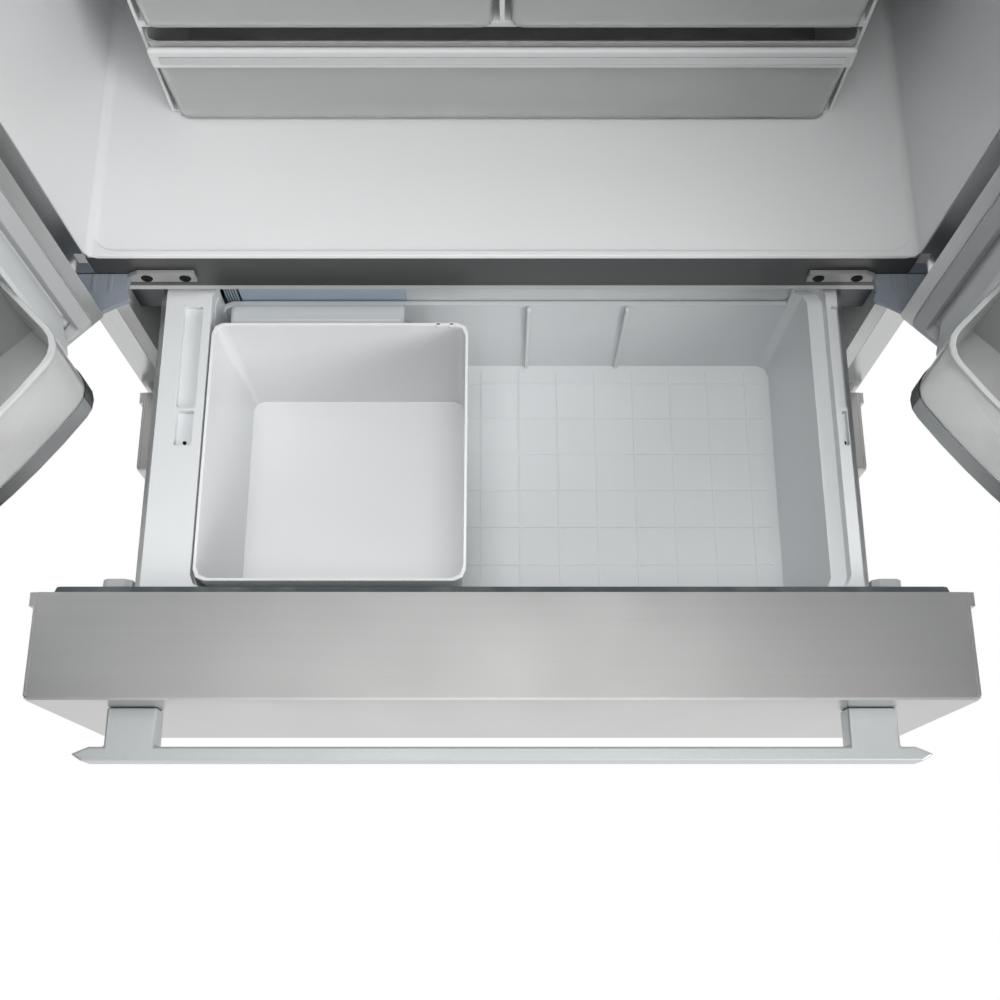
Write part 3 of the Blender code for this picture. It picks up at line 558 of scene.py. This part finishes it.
# Slots for the warm air are punched through the back, low down beside the machinery.
SLOT_WIDE = 0.100
SLOT_TALL = 0.005
SLOT_PITCH = 0.016
LOWEST_SLOT = 0.105
FIRST_COLUMN = -0.290
COLUMN_STEP = 0.145
THROUGH = 0.01
PANEL_SCREW = 0.0042
back_low, back_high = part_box("rear_panel")
punch = bmesh.new()
for column in range(5):
    for row in range(9):
        middle = FIRST_COLUMN + COLUMN_STEP * column
        z = LOWEST_SLOT + SLOT_PITCH * row
        add_block(punch, (middle - SLOT_WIDE / 2, back_low.y - THROUGH, z),
                  (middle + SLOT_WIDE / 2, back_high.y + THROUGH, z + SLOT_TALL))
punched = carved(merged_copy("rear_panel"), punch)
back_panel = as_piece("rear_panel_finished", punched, zinc_plate, "cabinet")
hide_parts("rear_panel")
panel_screws = bmesh.new()
for z in (0.300, 0.800, 1.250, 1.700):
    for side in (-1, 1):
        add_screw(panel_screws, (side * (back_high.x - 0.020), back_high.y - 0.0007, z), PANEL_SCREW,
                  (0.0, 1.0, 0.0))
as_piece("rear_panel_screws", panel_screws, zinc_plate, "cabinet")

# ------------------------------------------------------------------ rails across the front
# A dark painted rail faces the wall between the two compartments, with a light moulded lip
# under it. A grey rail parts the two freezer drawers, and a louvred grille closes the toe.

rail_paint = moulded_plastic(
    "rail_paint", (0.052, 0.052, 0.052), 0.36, fineness=1400.0, grain=0.10, clouding=0.25, dust=0.25,
)
lip_plastic = moulded_plastic("lip_plastic", (0.52, 0.52, 0.515), 0.38)
divider_paint = moulded_plastic("divider_paint", (0.30, 0.31, 0.32), 0.38, fineness=1100.0)
toe_plastic = moulded_plastic("toe_plastic", (0.16, 0.165, 0.17), 0.5, grain=0.25, dust=0.9)

dress("mullion_front_rail", rail_paint, 0.0012)
dress("mullion_lower_trim", lip_plastic, 0.0020)

# The rail's paint runs down over its joint with the lip.
SKIRT_OVER_LIP = 0.0030
skirt = bmesh.new()
trim_low, trim_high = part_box("mullion_lower_trim")
rail_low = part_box("mullion_front_rail")[0]
add_block(skirt, (trim_low.x, front_plane - 0.00015, trim_high.z - SKIRT_OVER_LIP),
          (trim_high.x, front_plane + 0.0006, rail_low.z + 0.0008), 0.00008)
as_piece("rail_skirt", skirt, rail_paint, "cabinet")
dress("drawer_divider_rail", divider_paint, 0.0015)
dress("toe_grille", toe_plastic, 0.0008, 2)

# ------------------------------------------------------------------ lower door hinges
# Each lower hinge is a grey painted steel bar screwed to the rail with two black screws. Its
# tongue reaches out under the door, under a ribbed blue-grey cover.

bracket_paint = moulded_plastic(
    "bracket_paint", (0.27, 0.27, 0.27), 0.33, fineness=700.0, Coat_Weight=0.2,
)
hinge_cover = moulded_plastic("hinge_cover", (0.235, 0.265, 0.305), 0.42, grain=0.2, clouding=0.6)
screw_black = moulded_plastic(
    "screw_black", (0.006, 0.006, 0.007), 0.6, grain=0.05, Specular_IOR_Level=0.12,
)
SCREW_RADIUS = 0.0062
SCREW_OUT = (0.330, 0.370)
BAR_THICK = 0.0052
BAR_LONG = 0.0777
TONGUE_RISE = 0.0090
COVER_RIB = 0.0042
COVER_RIB_OUT = (0.0100, 0.0275)
COVER_RIB_REACH = 0.022

for side, word in ((-1, "left"), (1, "right")):
    bracket = dress("hinge_bracket_" + word, bracket_paint, 0.0009, 2)
    low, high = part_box("hinge_bracket_" + word)
    bar_out = min(abs(low.x), abs(high.x)) + BAR_LONG
    bar_face = front_plane - BAR_THICK
    paint_faces(
        bracket, hinge_cover,
        lambda polygon: abs(polygon.center.x) > bar_out or polygon.center.y < bar_face - 0.0003,
    )
    ribs = bmesh.new()
    tongue_top = low.z + TONGUE_RISE
    for out in COVER_RIB_OUT:
        x = side * (bar_out + out)
        add_block(ribs, (x - COVER_RIB / 2, front_plane - COVER_RIB_REACH, tongue_top - 0.0005),
                  (x + COVER_RIB / 2, front_plane - 0.001, tongue_top + 0.0010), 0.0009, 3)
    as_piece("hinge_cover_ribs_" + word, ribs, hinge_cover, "cabinet")
    screws = bmesh.new()
    for x in SCREW_OUT:
        add_screw(screws, (side * x, bar_face - 0.0007, high.z - 0.0096), SCREW_RADIUS,
                  (0.0, -1.0, 0.0))
    as_piece("hinge_screws_" + word, screws, screw_black, "cabinet")

# ------------------------------------------------------------------ liners
# Both compartments are lined with vacuum-formed plastic sheet, glossy and slightly clouded.
# The fresh-food floor has a raised lip along its front, with round corners behind it.

liner_plastic = moulded_plastic(
    "liner_plastic", (0.76, 0.77, 0.775), 0.30, fineness=300.0, grain=0.015, clouding=0.06,
    Coat_Weight=0.2, Coat_Roughness=0.2,
)
freezer_plastic = moulded_plastic(
    "freezer_plastic", (0.60, 0.605, 0.60), 0.34, fineness=500.0, grain=0.06, clouding=0.3,
)


def near_front(edge):
    """Whether an edge lies in the plane of the front opening."""
    return all(abs(vert.co.y - front_plane) < 0.0002 for vert in edge.verts)


dress("fridge_liner", liner_plastic, 0.0006, 2, near_front)
coat("freezer_liner", freezer_plastic)
rigid_foam = moulded_plastic("rigid_foam", (0.70, 0.58, 0.32), 0.9, fineness=260.0, grain=0.6)
coat("insulation_foam", rigid_foam)

liner_low, liner_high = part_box("fridge_liner")
floor_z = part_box("crisper_frame")[0].z - 0.0003
WALL_SHEET = 0.0022
LIP_HIGH = 0.0026
LIP_DEEP = 0.008
LIP_LONG = 0.150
LIP_EASE = 0.0022
BASIN_RADIUS = 0.024
BASIN_SIDE = 0.004
wall_x = liner_high.x - WALL_SHEET


def on_lip_top(edge):
    """Whether an edge lies along the top of the floor's lip."""
    return all(vert.co.z > floor_z + 0.002 for vert in edge.verts)


lip = bmesh.new()
add_block(lip, (-wall_x, liner_low.y + 0.0004, floor_z),
          (wall_x, liner_low.y + LIP_LONG, floor_z + LIP_HIGH))
basin = bmesh.new()
add_prism(basin, (-wall_x + BASIN_SIDE, liner_low.y + LIP_DEEP, floor_z - 0.001),
          (wall_x - BASIN_SIDE, liner_low.y + LIP_LONG * 2, floor_z + 0.02), BASIN_RADIUS)
lip = carved(lip, basin)
ease_edges(lip, LIP_EASE, 4, choose=on_lip_top)
as_piece("fridge_floor_lip", lip, liner_plastic, "cabinet")

# Corner caps close the flange joint at both ends of the rail.
CAP_HALF = 0.0045
caps = bmesh.new()
for side in (-1, 1):
    x = side * (liner_high.x + 0.005)
    add_block(caps, (x - CAP_HALF, front_plane - 0.00025, floor_z - 0.010),
              (x + CAP_HALF, front_plane + 0.0060, floor_z + 0.008), 0.0001)
as_piece("corner_caps", caps, lip_plastic, "cabinet")

# ------------------------------------------------------------------ doors
# Each door is a stainless pan folded around foam, with a formed plastic inner door. A raised
# wall on the inner door holds the bins, and a soft magnetic gasket runs around it.

door_steel = brushed_metal(
    "door_steel", (0.60, 0.60, 0.595), (520.0, 520.0, 2.2), 0.30, 0.35, dust=0.25,
)
inner_door_plastic = moulded_plastic(
    "inner_door_plastic", (0.60, 0.615, 0.62), 0.33, fineness=420.0, grain=0.06, clouding=0.35,
    Coat_Weight=0.2, Coat_Roughness=0.15,
)
door_vinyl = moulded_plastic(
    "door_vinyl", (0.43, 0.44, 0.45), 0.5, fineness=1300.0, grain=0.10, clouding=0.2,
)
gasket_rubber = moulded_plastic(
    "gasket_rubber", (0.068, 0.082, 0.089), 0.62, fineness=1600.0, grain=0.12, clouding=0.5, dust=0.5,
)
handle_metal = brushed_metal(
    "handle_metal", (0.60, 0.63, 0.635), (260.0, 260.0, 260.0), 0.42, 0.2, metallic=0.75,
)
bin_clear = clear_moulding("bin_clear", (0.96, 0.965, 0.96), 0.10, 0.72)
bin_rim = moulded_plastic(
    "bin_rim", (0.78, 0.80, 0.80), 0.14, clouding=0.2, Transmission_Weight=0.35,
)
band_end = moulded_plastic("band_end", (0.02, 0.02, 0.022), 0.3, grain=0.05)
bin_band = brushed_metal("bin_band", (0.36, 0.37, 0.375), (3.0, 3.0, 600.0), 0.30, 0.4)

joints = {joint["name"]: joint for joint in frame["joints"]}
DOOR_OPEN = math.radians(135.0)
DIKE_REACH = 0.079
RIM_THICK = 0.0055
RIM_SPREAD = 0.0014
BAND_HIGH = 0.027
BAND_THICK = 0.0012
BAND_SHARE = -0.02
BAND_END = 0.018


def rim_strip(node, thickness, spread=0.0):
    """The top of a bin's wall, widened by the spread on both sides and thickened into a bead."""
    bm = merged_copy(node)
    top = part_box(node)[1].z
    gone = [f for f in bm.faces if not (f.normal.z > 0.9 and f.calc_center_median().z > top - 0.0005)]
    bmesh.ops.delete(bm, geom=gone, context="FACES")
    outward = {vert: Vector() for vert in bm.verts}
    for edge in bm.edges:
        if edge.is_boundary:
            first, second = edge.verts
            across = (second.co - first.co).cross(Vector((0.0, 0.0, 1.0))).normalized()
            loop = edge.link_loops[0]
            sign = 1.0 if loop.vert == first else -1.0
            for vert in edge.verts:
                outward[vert] += across * sign
    for vert, way in outward.items():
        if way.length > 0.0001:
            vert.co += way.normalized() * spread
    bmesh.ops.solidify(bm, geom=bm.faces[:], thickness=-thickness)
    bmesh.ops.recalc_face_normals(bm, faces=bm.faces)
    ease_edges(bm, thickness * 0.30, 2, 50.0)
    return bm


def skirt_band(node, height, thickness, inward, share):
    """A band around the outside of a bin's foot, on the part that faces inward."""
    bm = merged_copy(node)
    low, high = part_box(node)
    middle = (low + high) / 2
    bmesh.ops.bisect_plane(
        bm, geom=bm.verts[:] + bm.edges[:] + bm.faces[:], dist=0.00001,
        plane_co=(0.0, 0.0, low.z + height), plane_no=(0.0, 0.0, 1.0), clear_outer=True,
    )
    gone = []
    for face in bm.faces:
        centre = face.calc_center_median()
        out = centre - middle
        out.z = 0.0
        turned_out = face.normal.dot(out) > 0.0 and abs(face.normal.z) < 0.3
        if not turned_out or out.dot(inward) < share:
            gone.append(face)
    bmesh.ops.delete(bm, geom=gone, context="FACES")
    bmesh.ops.solidify(bm, geom=bm.faces[:], thickness=-thickness)
    bmesh.ops.recalc_face_normals(bm, faces=bm.faces)
    return bm


for side, word in ((-1, "left"), (1, "right")):
    body = word + "_door"
    pin = Vector(joints[word + "_door_hinge"]["pos_m"])
    inward = Vector((-side * math.sin(DOOR_OPEN), math.cos(DOOR_OPEN), 0.0))

    def on_dike_top(edge):
        """Whether an edge lies on top of the wall round the inner door."""
        return all((vert.co - pin).dot(inward) > DIKE_REACH for vert in edge.verts)

    dress("door_skin_" + word, door_steel, 0.0009, 2)
    dress("door_liner_" + word, inner_door_plastic, 0.0045, 3, on_dike_top)
    dress("door_gasket_" + word, door_vinyl, 0.0012, 2)
    dress("door_handle_" + word, handle_metal, 0.0030, 4)
    for level in ("lower", "upper"):
        node = "door_bin_" + level + "_" + word
        dress(node, bin_clear, 0.0006, 2)
        as_piece(node + "_rim", rim_strip(node, RIM_THICK, RIM_SPREAD), bin_rim, body)
        foot = skirt_band(node, BAND_HIGH, BAND_THICK, inward, BAND_SHARE)
        band = as_piece(node + "_band", foot, bin_band, body)
        reach = max((vert.co - pin).dot(inward) for vert in band.data.vertices)
        paint_faces(
            band, band_end,
            lambda polygon: (polygon.center - pin).dot(inward) < reach - BAND_END,
        )

flipper_plastic = moulded_plastic("flipper_plastic", (0.38, 0.395, 0.40), 0.4)
dress("flipper_mullion", flipper_plastic, 0.0030, 3)

# ------------------------------------------------------------------ freezer drawer fronts
# Both freezer drawers have a stainless pan over foam, hemmed down its ends, with a grey
# gasket behind it and a flat bar handle on two posts.

drawer_steel = brushed_metal(
    "drawer_steel", (0.55, 0.55, 0.545), (2.2, 560.0, 560.0), 0.31, 0.34, dust=0.12,
)
HEM_IN = 0.0050
HEM_WIDE = 0.0032
HEM_PROUD = 0.0005

for word in ("upper_drawer", "lower_drawer"):
    dress(word + "_front_skin", drawer_steel, 0.0010, 3)
    coat(word + "_inner_panel", liner_plastic)
    dress(word + "_gasket", gasket_rubber, 0.0010, 2)
    dress(word + "_handle", handle_metal, 0.0026, 4)
    low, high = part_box(word + "_front_skin")
    hems = bmesh.new()
    for side in (-1, 1):
        outer = side * (high.x - HEM_IN)
        inner = side * (high.x - HEM_IN - HEM_WIDE)
        add_block(hems, (min(outer, inner), low.y + 0.0035, low.z + 0.004),
                  (max(outer, inner), high.y - 0.0002, high.z + HEM_PROUD), 0.0004)
    as_piece(word + "_hems", hems, drawer_steel, word)

# ------------------------------------------------------------------ upper tub
# The upper tub is one satin moulding. Its broad side ledges ride on the slides and carry
# shallow pockets; its back wall dips so that ice can fall in over it. Its floor has thin ribs.

tub_plastic = moulded_plastic(
    "tub_plastic", (0.70, 0.72, 0.73), 0.30, fineness=500.0, grain=0.07, clouding=0.25,
    Coat_Weight=0.15, Coat_Roughness=0.2,
)
tub_low, tub_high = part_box("upper_drawer_tub")
POCKET_DEEP = 0.007
POCKET_X = (-0.341, -0.3205)
RIGHT_POCKET_X = (0.3535, 0.3610)
POCKET_BACK = (0.030, 0.148)
SCREW_POCKET_BACK = (0.151, 0.190)
DIP_X = (-0.3085, 0.318)
DIP_THICK = 0.0300
BACK_DIP = 0.044
REBATE = 0.0062
OVERCUT = 0.01
TUB_FLOOR = 0.0025
RIB_HIGH = 0.0014
RIB_HALF = 0.0010
RIB_STEP = 0.046
RIB_SIDE = 0.318
WALL_RIB_HALF = 0.0022
LEDGE_SCREW = 0.0022

tub = merged_copy("upper_drawer_tub")
rim_z = tub_high.z
back = tub_high.y
pockets = bmesh.new()
for (left, right), radius in ((POCKET_X, 0.004), (RIGHT_POCKET_X, 0.002)):
    add_prism(pockets, (left, back - POCKET_BACK[1], rim_z - POCKET_DEEP),
              (right, back - POCKET_BACK[0], rim_z + OVERCUT), radius)
    add_prism(pockets, (left + 0.001, back - SCREW_POCKET_BACK[1], rim_z - POCKET_DEEP - 0.002),
              (right - 0.001, back - SCREW_POCKET_BACK[0], rim_z + OVERCUT), 0.002)
add_prism(pockets, (DIP_X[0], back - DIP_THICK, rim_z - BACK_DIP),
          (DIP_X[1], back + OVERCUT, rim_z + OVERCUT * 2), 0.004)
rebates = bmesh.new()
for left, right in ((tub_low.x - OVERCUT, tub_low.x + REBATE),
                    (tub_high.x - REBATE, tub_high.x + OVERCUT)):
    add_prism(rebates, (left, tub_low.y - OVERCUT, rim_z - REBATE),
              (right, back + OVERCUT, rim_z + OVERCUT), 0.001)
tub = carved(carved(tub, pockets), rebates)
ease_edges(tub, 0.0014, 2, 35.0)
tub_piece = as_piece("upper_tub_finished", tub, tub_plastic, "upper_drawer")
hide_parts("upper_drawer_tub")

tub_ribs = bmesh.new()
floor_top = tub_low.z + TUB_FLOOR
rib_base = floor_top - 0.0003
x = -0.300
while x < 0.3101:
    add_block(tub_ribs, (x - RIB_HALF, tub_low.y + 0.016, rib_base),
              (x + RIB_HALF, back - 0.016, floor_top + RIB_HIGH), 0.0004)
    x += RIB_STEP
y = tub_low.y + 0.038
while y < back - 0.02:
    add_block(tub_ribs, (-RIB_SIDE, y - RIB_HALF, rib_base),
              (RIB_SIDE, y + RIB_HALF, floor_top + RIB_HIGH - 0.0002), 0.0004)
    y += RIB_STEP
for x in (0.030, 0.140):
    add_block(tub_ribs, (x - WALL_RIB_HALF, back - 0.0125, floor_top),
              (x + WALL_RIB_HALF, back - 0.0068, rim_z - BACK_DIP - 0.002), 0.0015, 3)
as_piece("upper_tub_ribs", tub_ribs, tub_plastic, "upper_drawer")

shelf = bmesh.new()
add_block(shelf, (-0.302, back - 0.029, rim_z - BACK_DIP - 0.040),
          (-0.108, back - 0.004, rim_z - BACK_DIP + 0.002), 0.006, 4)
as_piece("upper_tub_back_shelf", shelf, tub_plastic, "upper_drawer")

ledge_screws = bmesh.new()
for pocket in (POCKET_X, RIGHT_POCKET_X):
    add_screw(ledge_screws, (sum(pocket) / 2, back - 0.184, rim_z - POCKET_DEEP - 0.0016),
              LEDGE_SCREW, (0.0, 0.0, 1.0))
as_piece("ledge_screws", ledge_screws, screw_black, "upper_drawer")

# Behind the dip, a ribbed blue-grey guard and a white rail stiffen the tub's back.
guard_plastic = moulded_plastic(
    "guard_plastic", (0.42, 0.51, 0.59), 0.12, clouding=0.5, Coat_Weight=0.6, Coat_Roughness=0.06,
)
GUARD_HIGH = 0.075
GUARD_RIBS = 5
GUARD_RIB_STEP = 0.0030
GUARD_RIB_WIDE = 0.0015
guard_z = (rim_z - GUARD_HIGH, rim_z + 0.0030)
guard_y = (back + 0.0006, back + 0.0044)
guard = bmesh.new()
add_block(guard, (-0.290, guard_y[0], guard_z[0]), (-0.106, guard_y[1], guard_z[1]), 0.0015)
for rib in range(GUARD_RIBS):
    x = -0.3062 + rib * GUARD_RIB_STEP
    add_block(guard, (x, guard_y[0], guard_z[0]), (x + GUARD_RIB_WIDE, guard_y[1], guard_z[1]), 0.0004)
as_piece("tub_guard", guard, guard_plastic, "upper_drawer")
rail = bmesh.new()
add_block(rail, (-0.1065, guard_y[0], guard_z[0]),
          (0.330, guard_y[1] - 0.0004, guard_z[1] - 0.003), 0.0012)
as_piece("tub_back_rail", rail, tub_plastic, "upper_drawer")

# ------------------------------------------------------------------ ice bin
# The lift-out ice bin is a white moulding with round corners and a rolled rim. Two small
# tabs stand at the back of its rim.

ice_plastic = moulded_plastic(
    "ice_plastic", (0.80, 0.81, 0.815), 0.30, fineness=450.0, grain=0.08, clouding=0.2,
)
dress("ice_bin", ice_plastic, 0.0010, 3)
bin_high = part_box("ice_bin")[1]
as_piece("ice_bin_rim", rim_strip("ice_bin", 0.0022), ice_plastic, "ice_bin")
TAB_HALF = 0.0022
tabs = bmesh.new()
for x in (bin_high.x - 0.032, bin_high.x - 0.018):
    add_block(tabs, (x - TAB_HALF, bin_high.y - 0.0042, bin_high.z - 0.004),
              (x + TAB_HALF, bin_high.y + 0.0008, bin_high.z + 0.0022), 0.0007)
as_piece("ice_bin_tabs", tabs, ice_plastic, "ice_bin")

# ------------------------------------------------------------------ lower tub and slides
# The lower tub is deeper and plainer. Zinc-plated steel slides carry both tubs: bent
# channels with a ball race between them, and grey plastic hooks at the front of the upper pair.

dress("lower_drawer_tub", tub_plastic, 0.0012, 2)
ALONG_SLIDE = (300.0, 3.0, 300.0)
HOOK_LONG = 0.0132
slide_zinc = brushed_metal("slide_zinc", (0.56, 0.57, 0.58), ALONG_SLIDE, 0.30, 0.5, dust=0.2)
# A darker copy of the plated zinc for the cabinet members: painted shade, since those members sit in shadow.
slide_zinc_painted_shade = brushed_metal("slide_zinc_painted_shade", (0.10, 0.105, 0.11), ALONG_SLIDE, 0.40, 0.5, dust=0.4)
hook_plastic = moulded_plastic("hook_plastic", (0.44, 0.45, 0.455), 0.42)
for word in ("left", "right"):
    dress("upper_slide_middle_" + word, slide_zinc, 0.0012, 2)
    # The cabinet members take the darker zinc, which is painted shade.
    for node in ("upper_slide_cabinet_", "lower_slide_cabinet_"):
        dress(node + word, slide_zinc_painted_shade, 0.0012, 2)
    member = dress("upper_slide_drawer_" + word, slide_zinc, 0.0012, 2)
    start_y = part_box("upper_slide_drawer_" + word)[0].y
    paint_faces(member, hook_plastic, lambda polygon: polygon.center.y < start_y + HOOK_LONG)

# A plated runner lies in the step along each side of the upper tub.
runners = bmesh.new()
for side in (-1, 1):
    outer, inner = side * (tub_high.x - 0.0004), side * (tub_high.x - REBATE + 0.0004)
    add_block(runners, (min(outer, inner), tub_low.y + 0.002, rim_z - REBATE + 0.0002),
              (max(outer, inner), back - 0.002, rim_z - 0.0022), 0.0008)
as_piece("upper_tub_runners", runners, slide_zinc, "upper_drawer")

# ------------------------------------------------------------------ fresh-food fittings
# A white frame carries the pantry drawer and two crispers under a glass cover, and a second
# glass shelf stands above. A duct panel on the back wall feeds cold air through its slots.

shelf_glass = clear_moulding("shelf_glass", (0.86, 0.95, 0.93), 0.04, 0.96)
shelf_trim = moulded_plastic("shelf_trim", (0.70, 0.71, 0.71), 0.25)
bright_strip = brushed_metal("bright_strip", (0.66, 0.67, 0.67), (2.0, 500.0, 500.0), 0.22, 0.3)
dress("crisper_frame", liner_plastic, 0.0008, 2)
for node in ("crisper_cover_glass", "upper_shelf_glass"):
    dress(node, shelf_glass, 0.0008, 2)
    low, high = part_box(node)
    edging = bmesh.new()
    add_block(edging, (low.x, low.y - 0.005, low.z - 0.006),
              (high.x, low.y + 0.006, high.z + 0.0015), 0.0025, 3)
    add_block(edging, (low.x, high.y - 0.006, low.z - 0.004),
              (high.x, high.y + 0.004, high.z + 0.006), 0.0015)
    as_piece(node + "_edging", edging, shelf_trim, "cabinet")
for node in ("pantry_drawer", "crisper_left", "crisper_right"):
    body = body_of(node)
    dress(node, bin_clear, 0.0010, 2)
    low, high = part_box(node)
    pull = bmesh.new()
    add_block(pull, (low.x + 0.002, low.y - 0.0070, high.z - 0.030),
              (high.x - 0.002, low.y - 0.0004, high.z - 0.004), 0.0030, 3)
    as_piece(node + "_pull", pull, shelf_trim, body)
    strip = bmesh.new()
    add_block(strip, (low.x + 0.012, low.y - 0.0082, high.z - 0.022),
              (high.x - 0.012, low.y - 0.0066, high.z - 0.012), 0.0006)
    as_piece(node + "_strip", strip, bright_strip, body)

DUCT_HALF = 0.150
DUCT_THICK = 0.014
DUCT_SLOT_HALF = 0.045
DUCT_SLOT_TALL = 0.006
wall_y = liner_high.y - 0.0015
duct = bmesh.new()
add_block(duct, (-DUCT_HALF, wall_y - DUCT_THICK, floor_z + 0.40),
          (DUCT_HALF, wall_y - 0.0002, liner_high.z - 0.06), 0.006, 4)
as_piece("air_duct", duct, liner_plastic, "cabinet")
slots = bmesh.new()
for row in range(5):
    z = floor_z + 0.46 + 0.10 * row
    for side in (-1, 1):
        x = side * DUCT_HALF / 2
        add_block(slots, (x - DUCT_SLOT_HALF, wall_y - DUCT_THICK - 0.0008, z),
                  (x + DUCT_SLOT_HALF, wall_y - DUCT_THICK + 0.0004, z + DUCT_SLOT_TALL), 0.0004)
as_piece("air_duct_slots", slots, moulded_plastic("slot_shadow", (0.05, 0.055, 0.06), 0.6), "cabinet")
lens_plastic = moulded_plastic("lens_plastic", (0.86, 0.87, 0.86), 0.2, Transmission_Weight=0.3)
lamp_lens = bmesh.new()
add_block(lamp_lens, (-0.160, liner_low.y + 0.10, liner_high.z - 0.0080),
          (0.160, liner_low.y + 0.16, liner_high.z - 0.0016), 0.0025, 3)
as_piece("lamp_lens", lamp_lens, lens_plastic, "cabinet")

# ------------------------------------------------------------------ top hinges, feet and machinery
# Moulded covers hide the top hinges. The cabinet stands on two steel feet and two rollers,
# with the compressor and its fan behind, and the ice maker under the freezer's ceiling.

cover_plastic = moulded_plastic("cover_plastic", (0.20, 0.205, 0.21), 0.42, grain=0.2, dust=0.9)
machine_paint = moulded_plastic(
    "machine_paint", (0.022, 0.022, 0.023), 0.32, fineness=300.0, grain=0.2, dust=1.0,
)
roller_rubber = moulded_plastic("roller_rubber", (0.03, 0.03, 0.03), 0.7, grain=0.2, dust=0.6)
COVER_SCREW = 0.0045
for word in ("left", "right"):
    dress("top_hinge_" + word, cover_plastic, 0.0035, 4)
    coat("leveling_foot_" + word, zinc_plate)
    dress("rear_roller_" + word, roller_rubber, 0.0006, 2)
    low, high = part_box("top_hinge_" + word)
    cap_screw = bmesh.new()
    add_screw(cap_screw, ((low.x + high.x) / 2, high.y - 0.040, high.z - 0.0008), COVER_SCREW,
              (0.0, 0.0, 1.0))
    as_piece("top_hinge_screw_" + word, cap_screw, screw_black, "cabinet")
dress("compressor", machine_paint, 0.0020, 3)
dress("condenser_fan", machine_paint, 0.0012, 2)
ice_maker_plastic = moulded_plastic("ice_maker_plastic", (0.40, 0.44, 0.48), 0.3)
dress("ice_maker", ice_maker_plastic, 0.0025, 3)
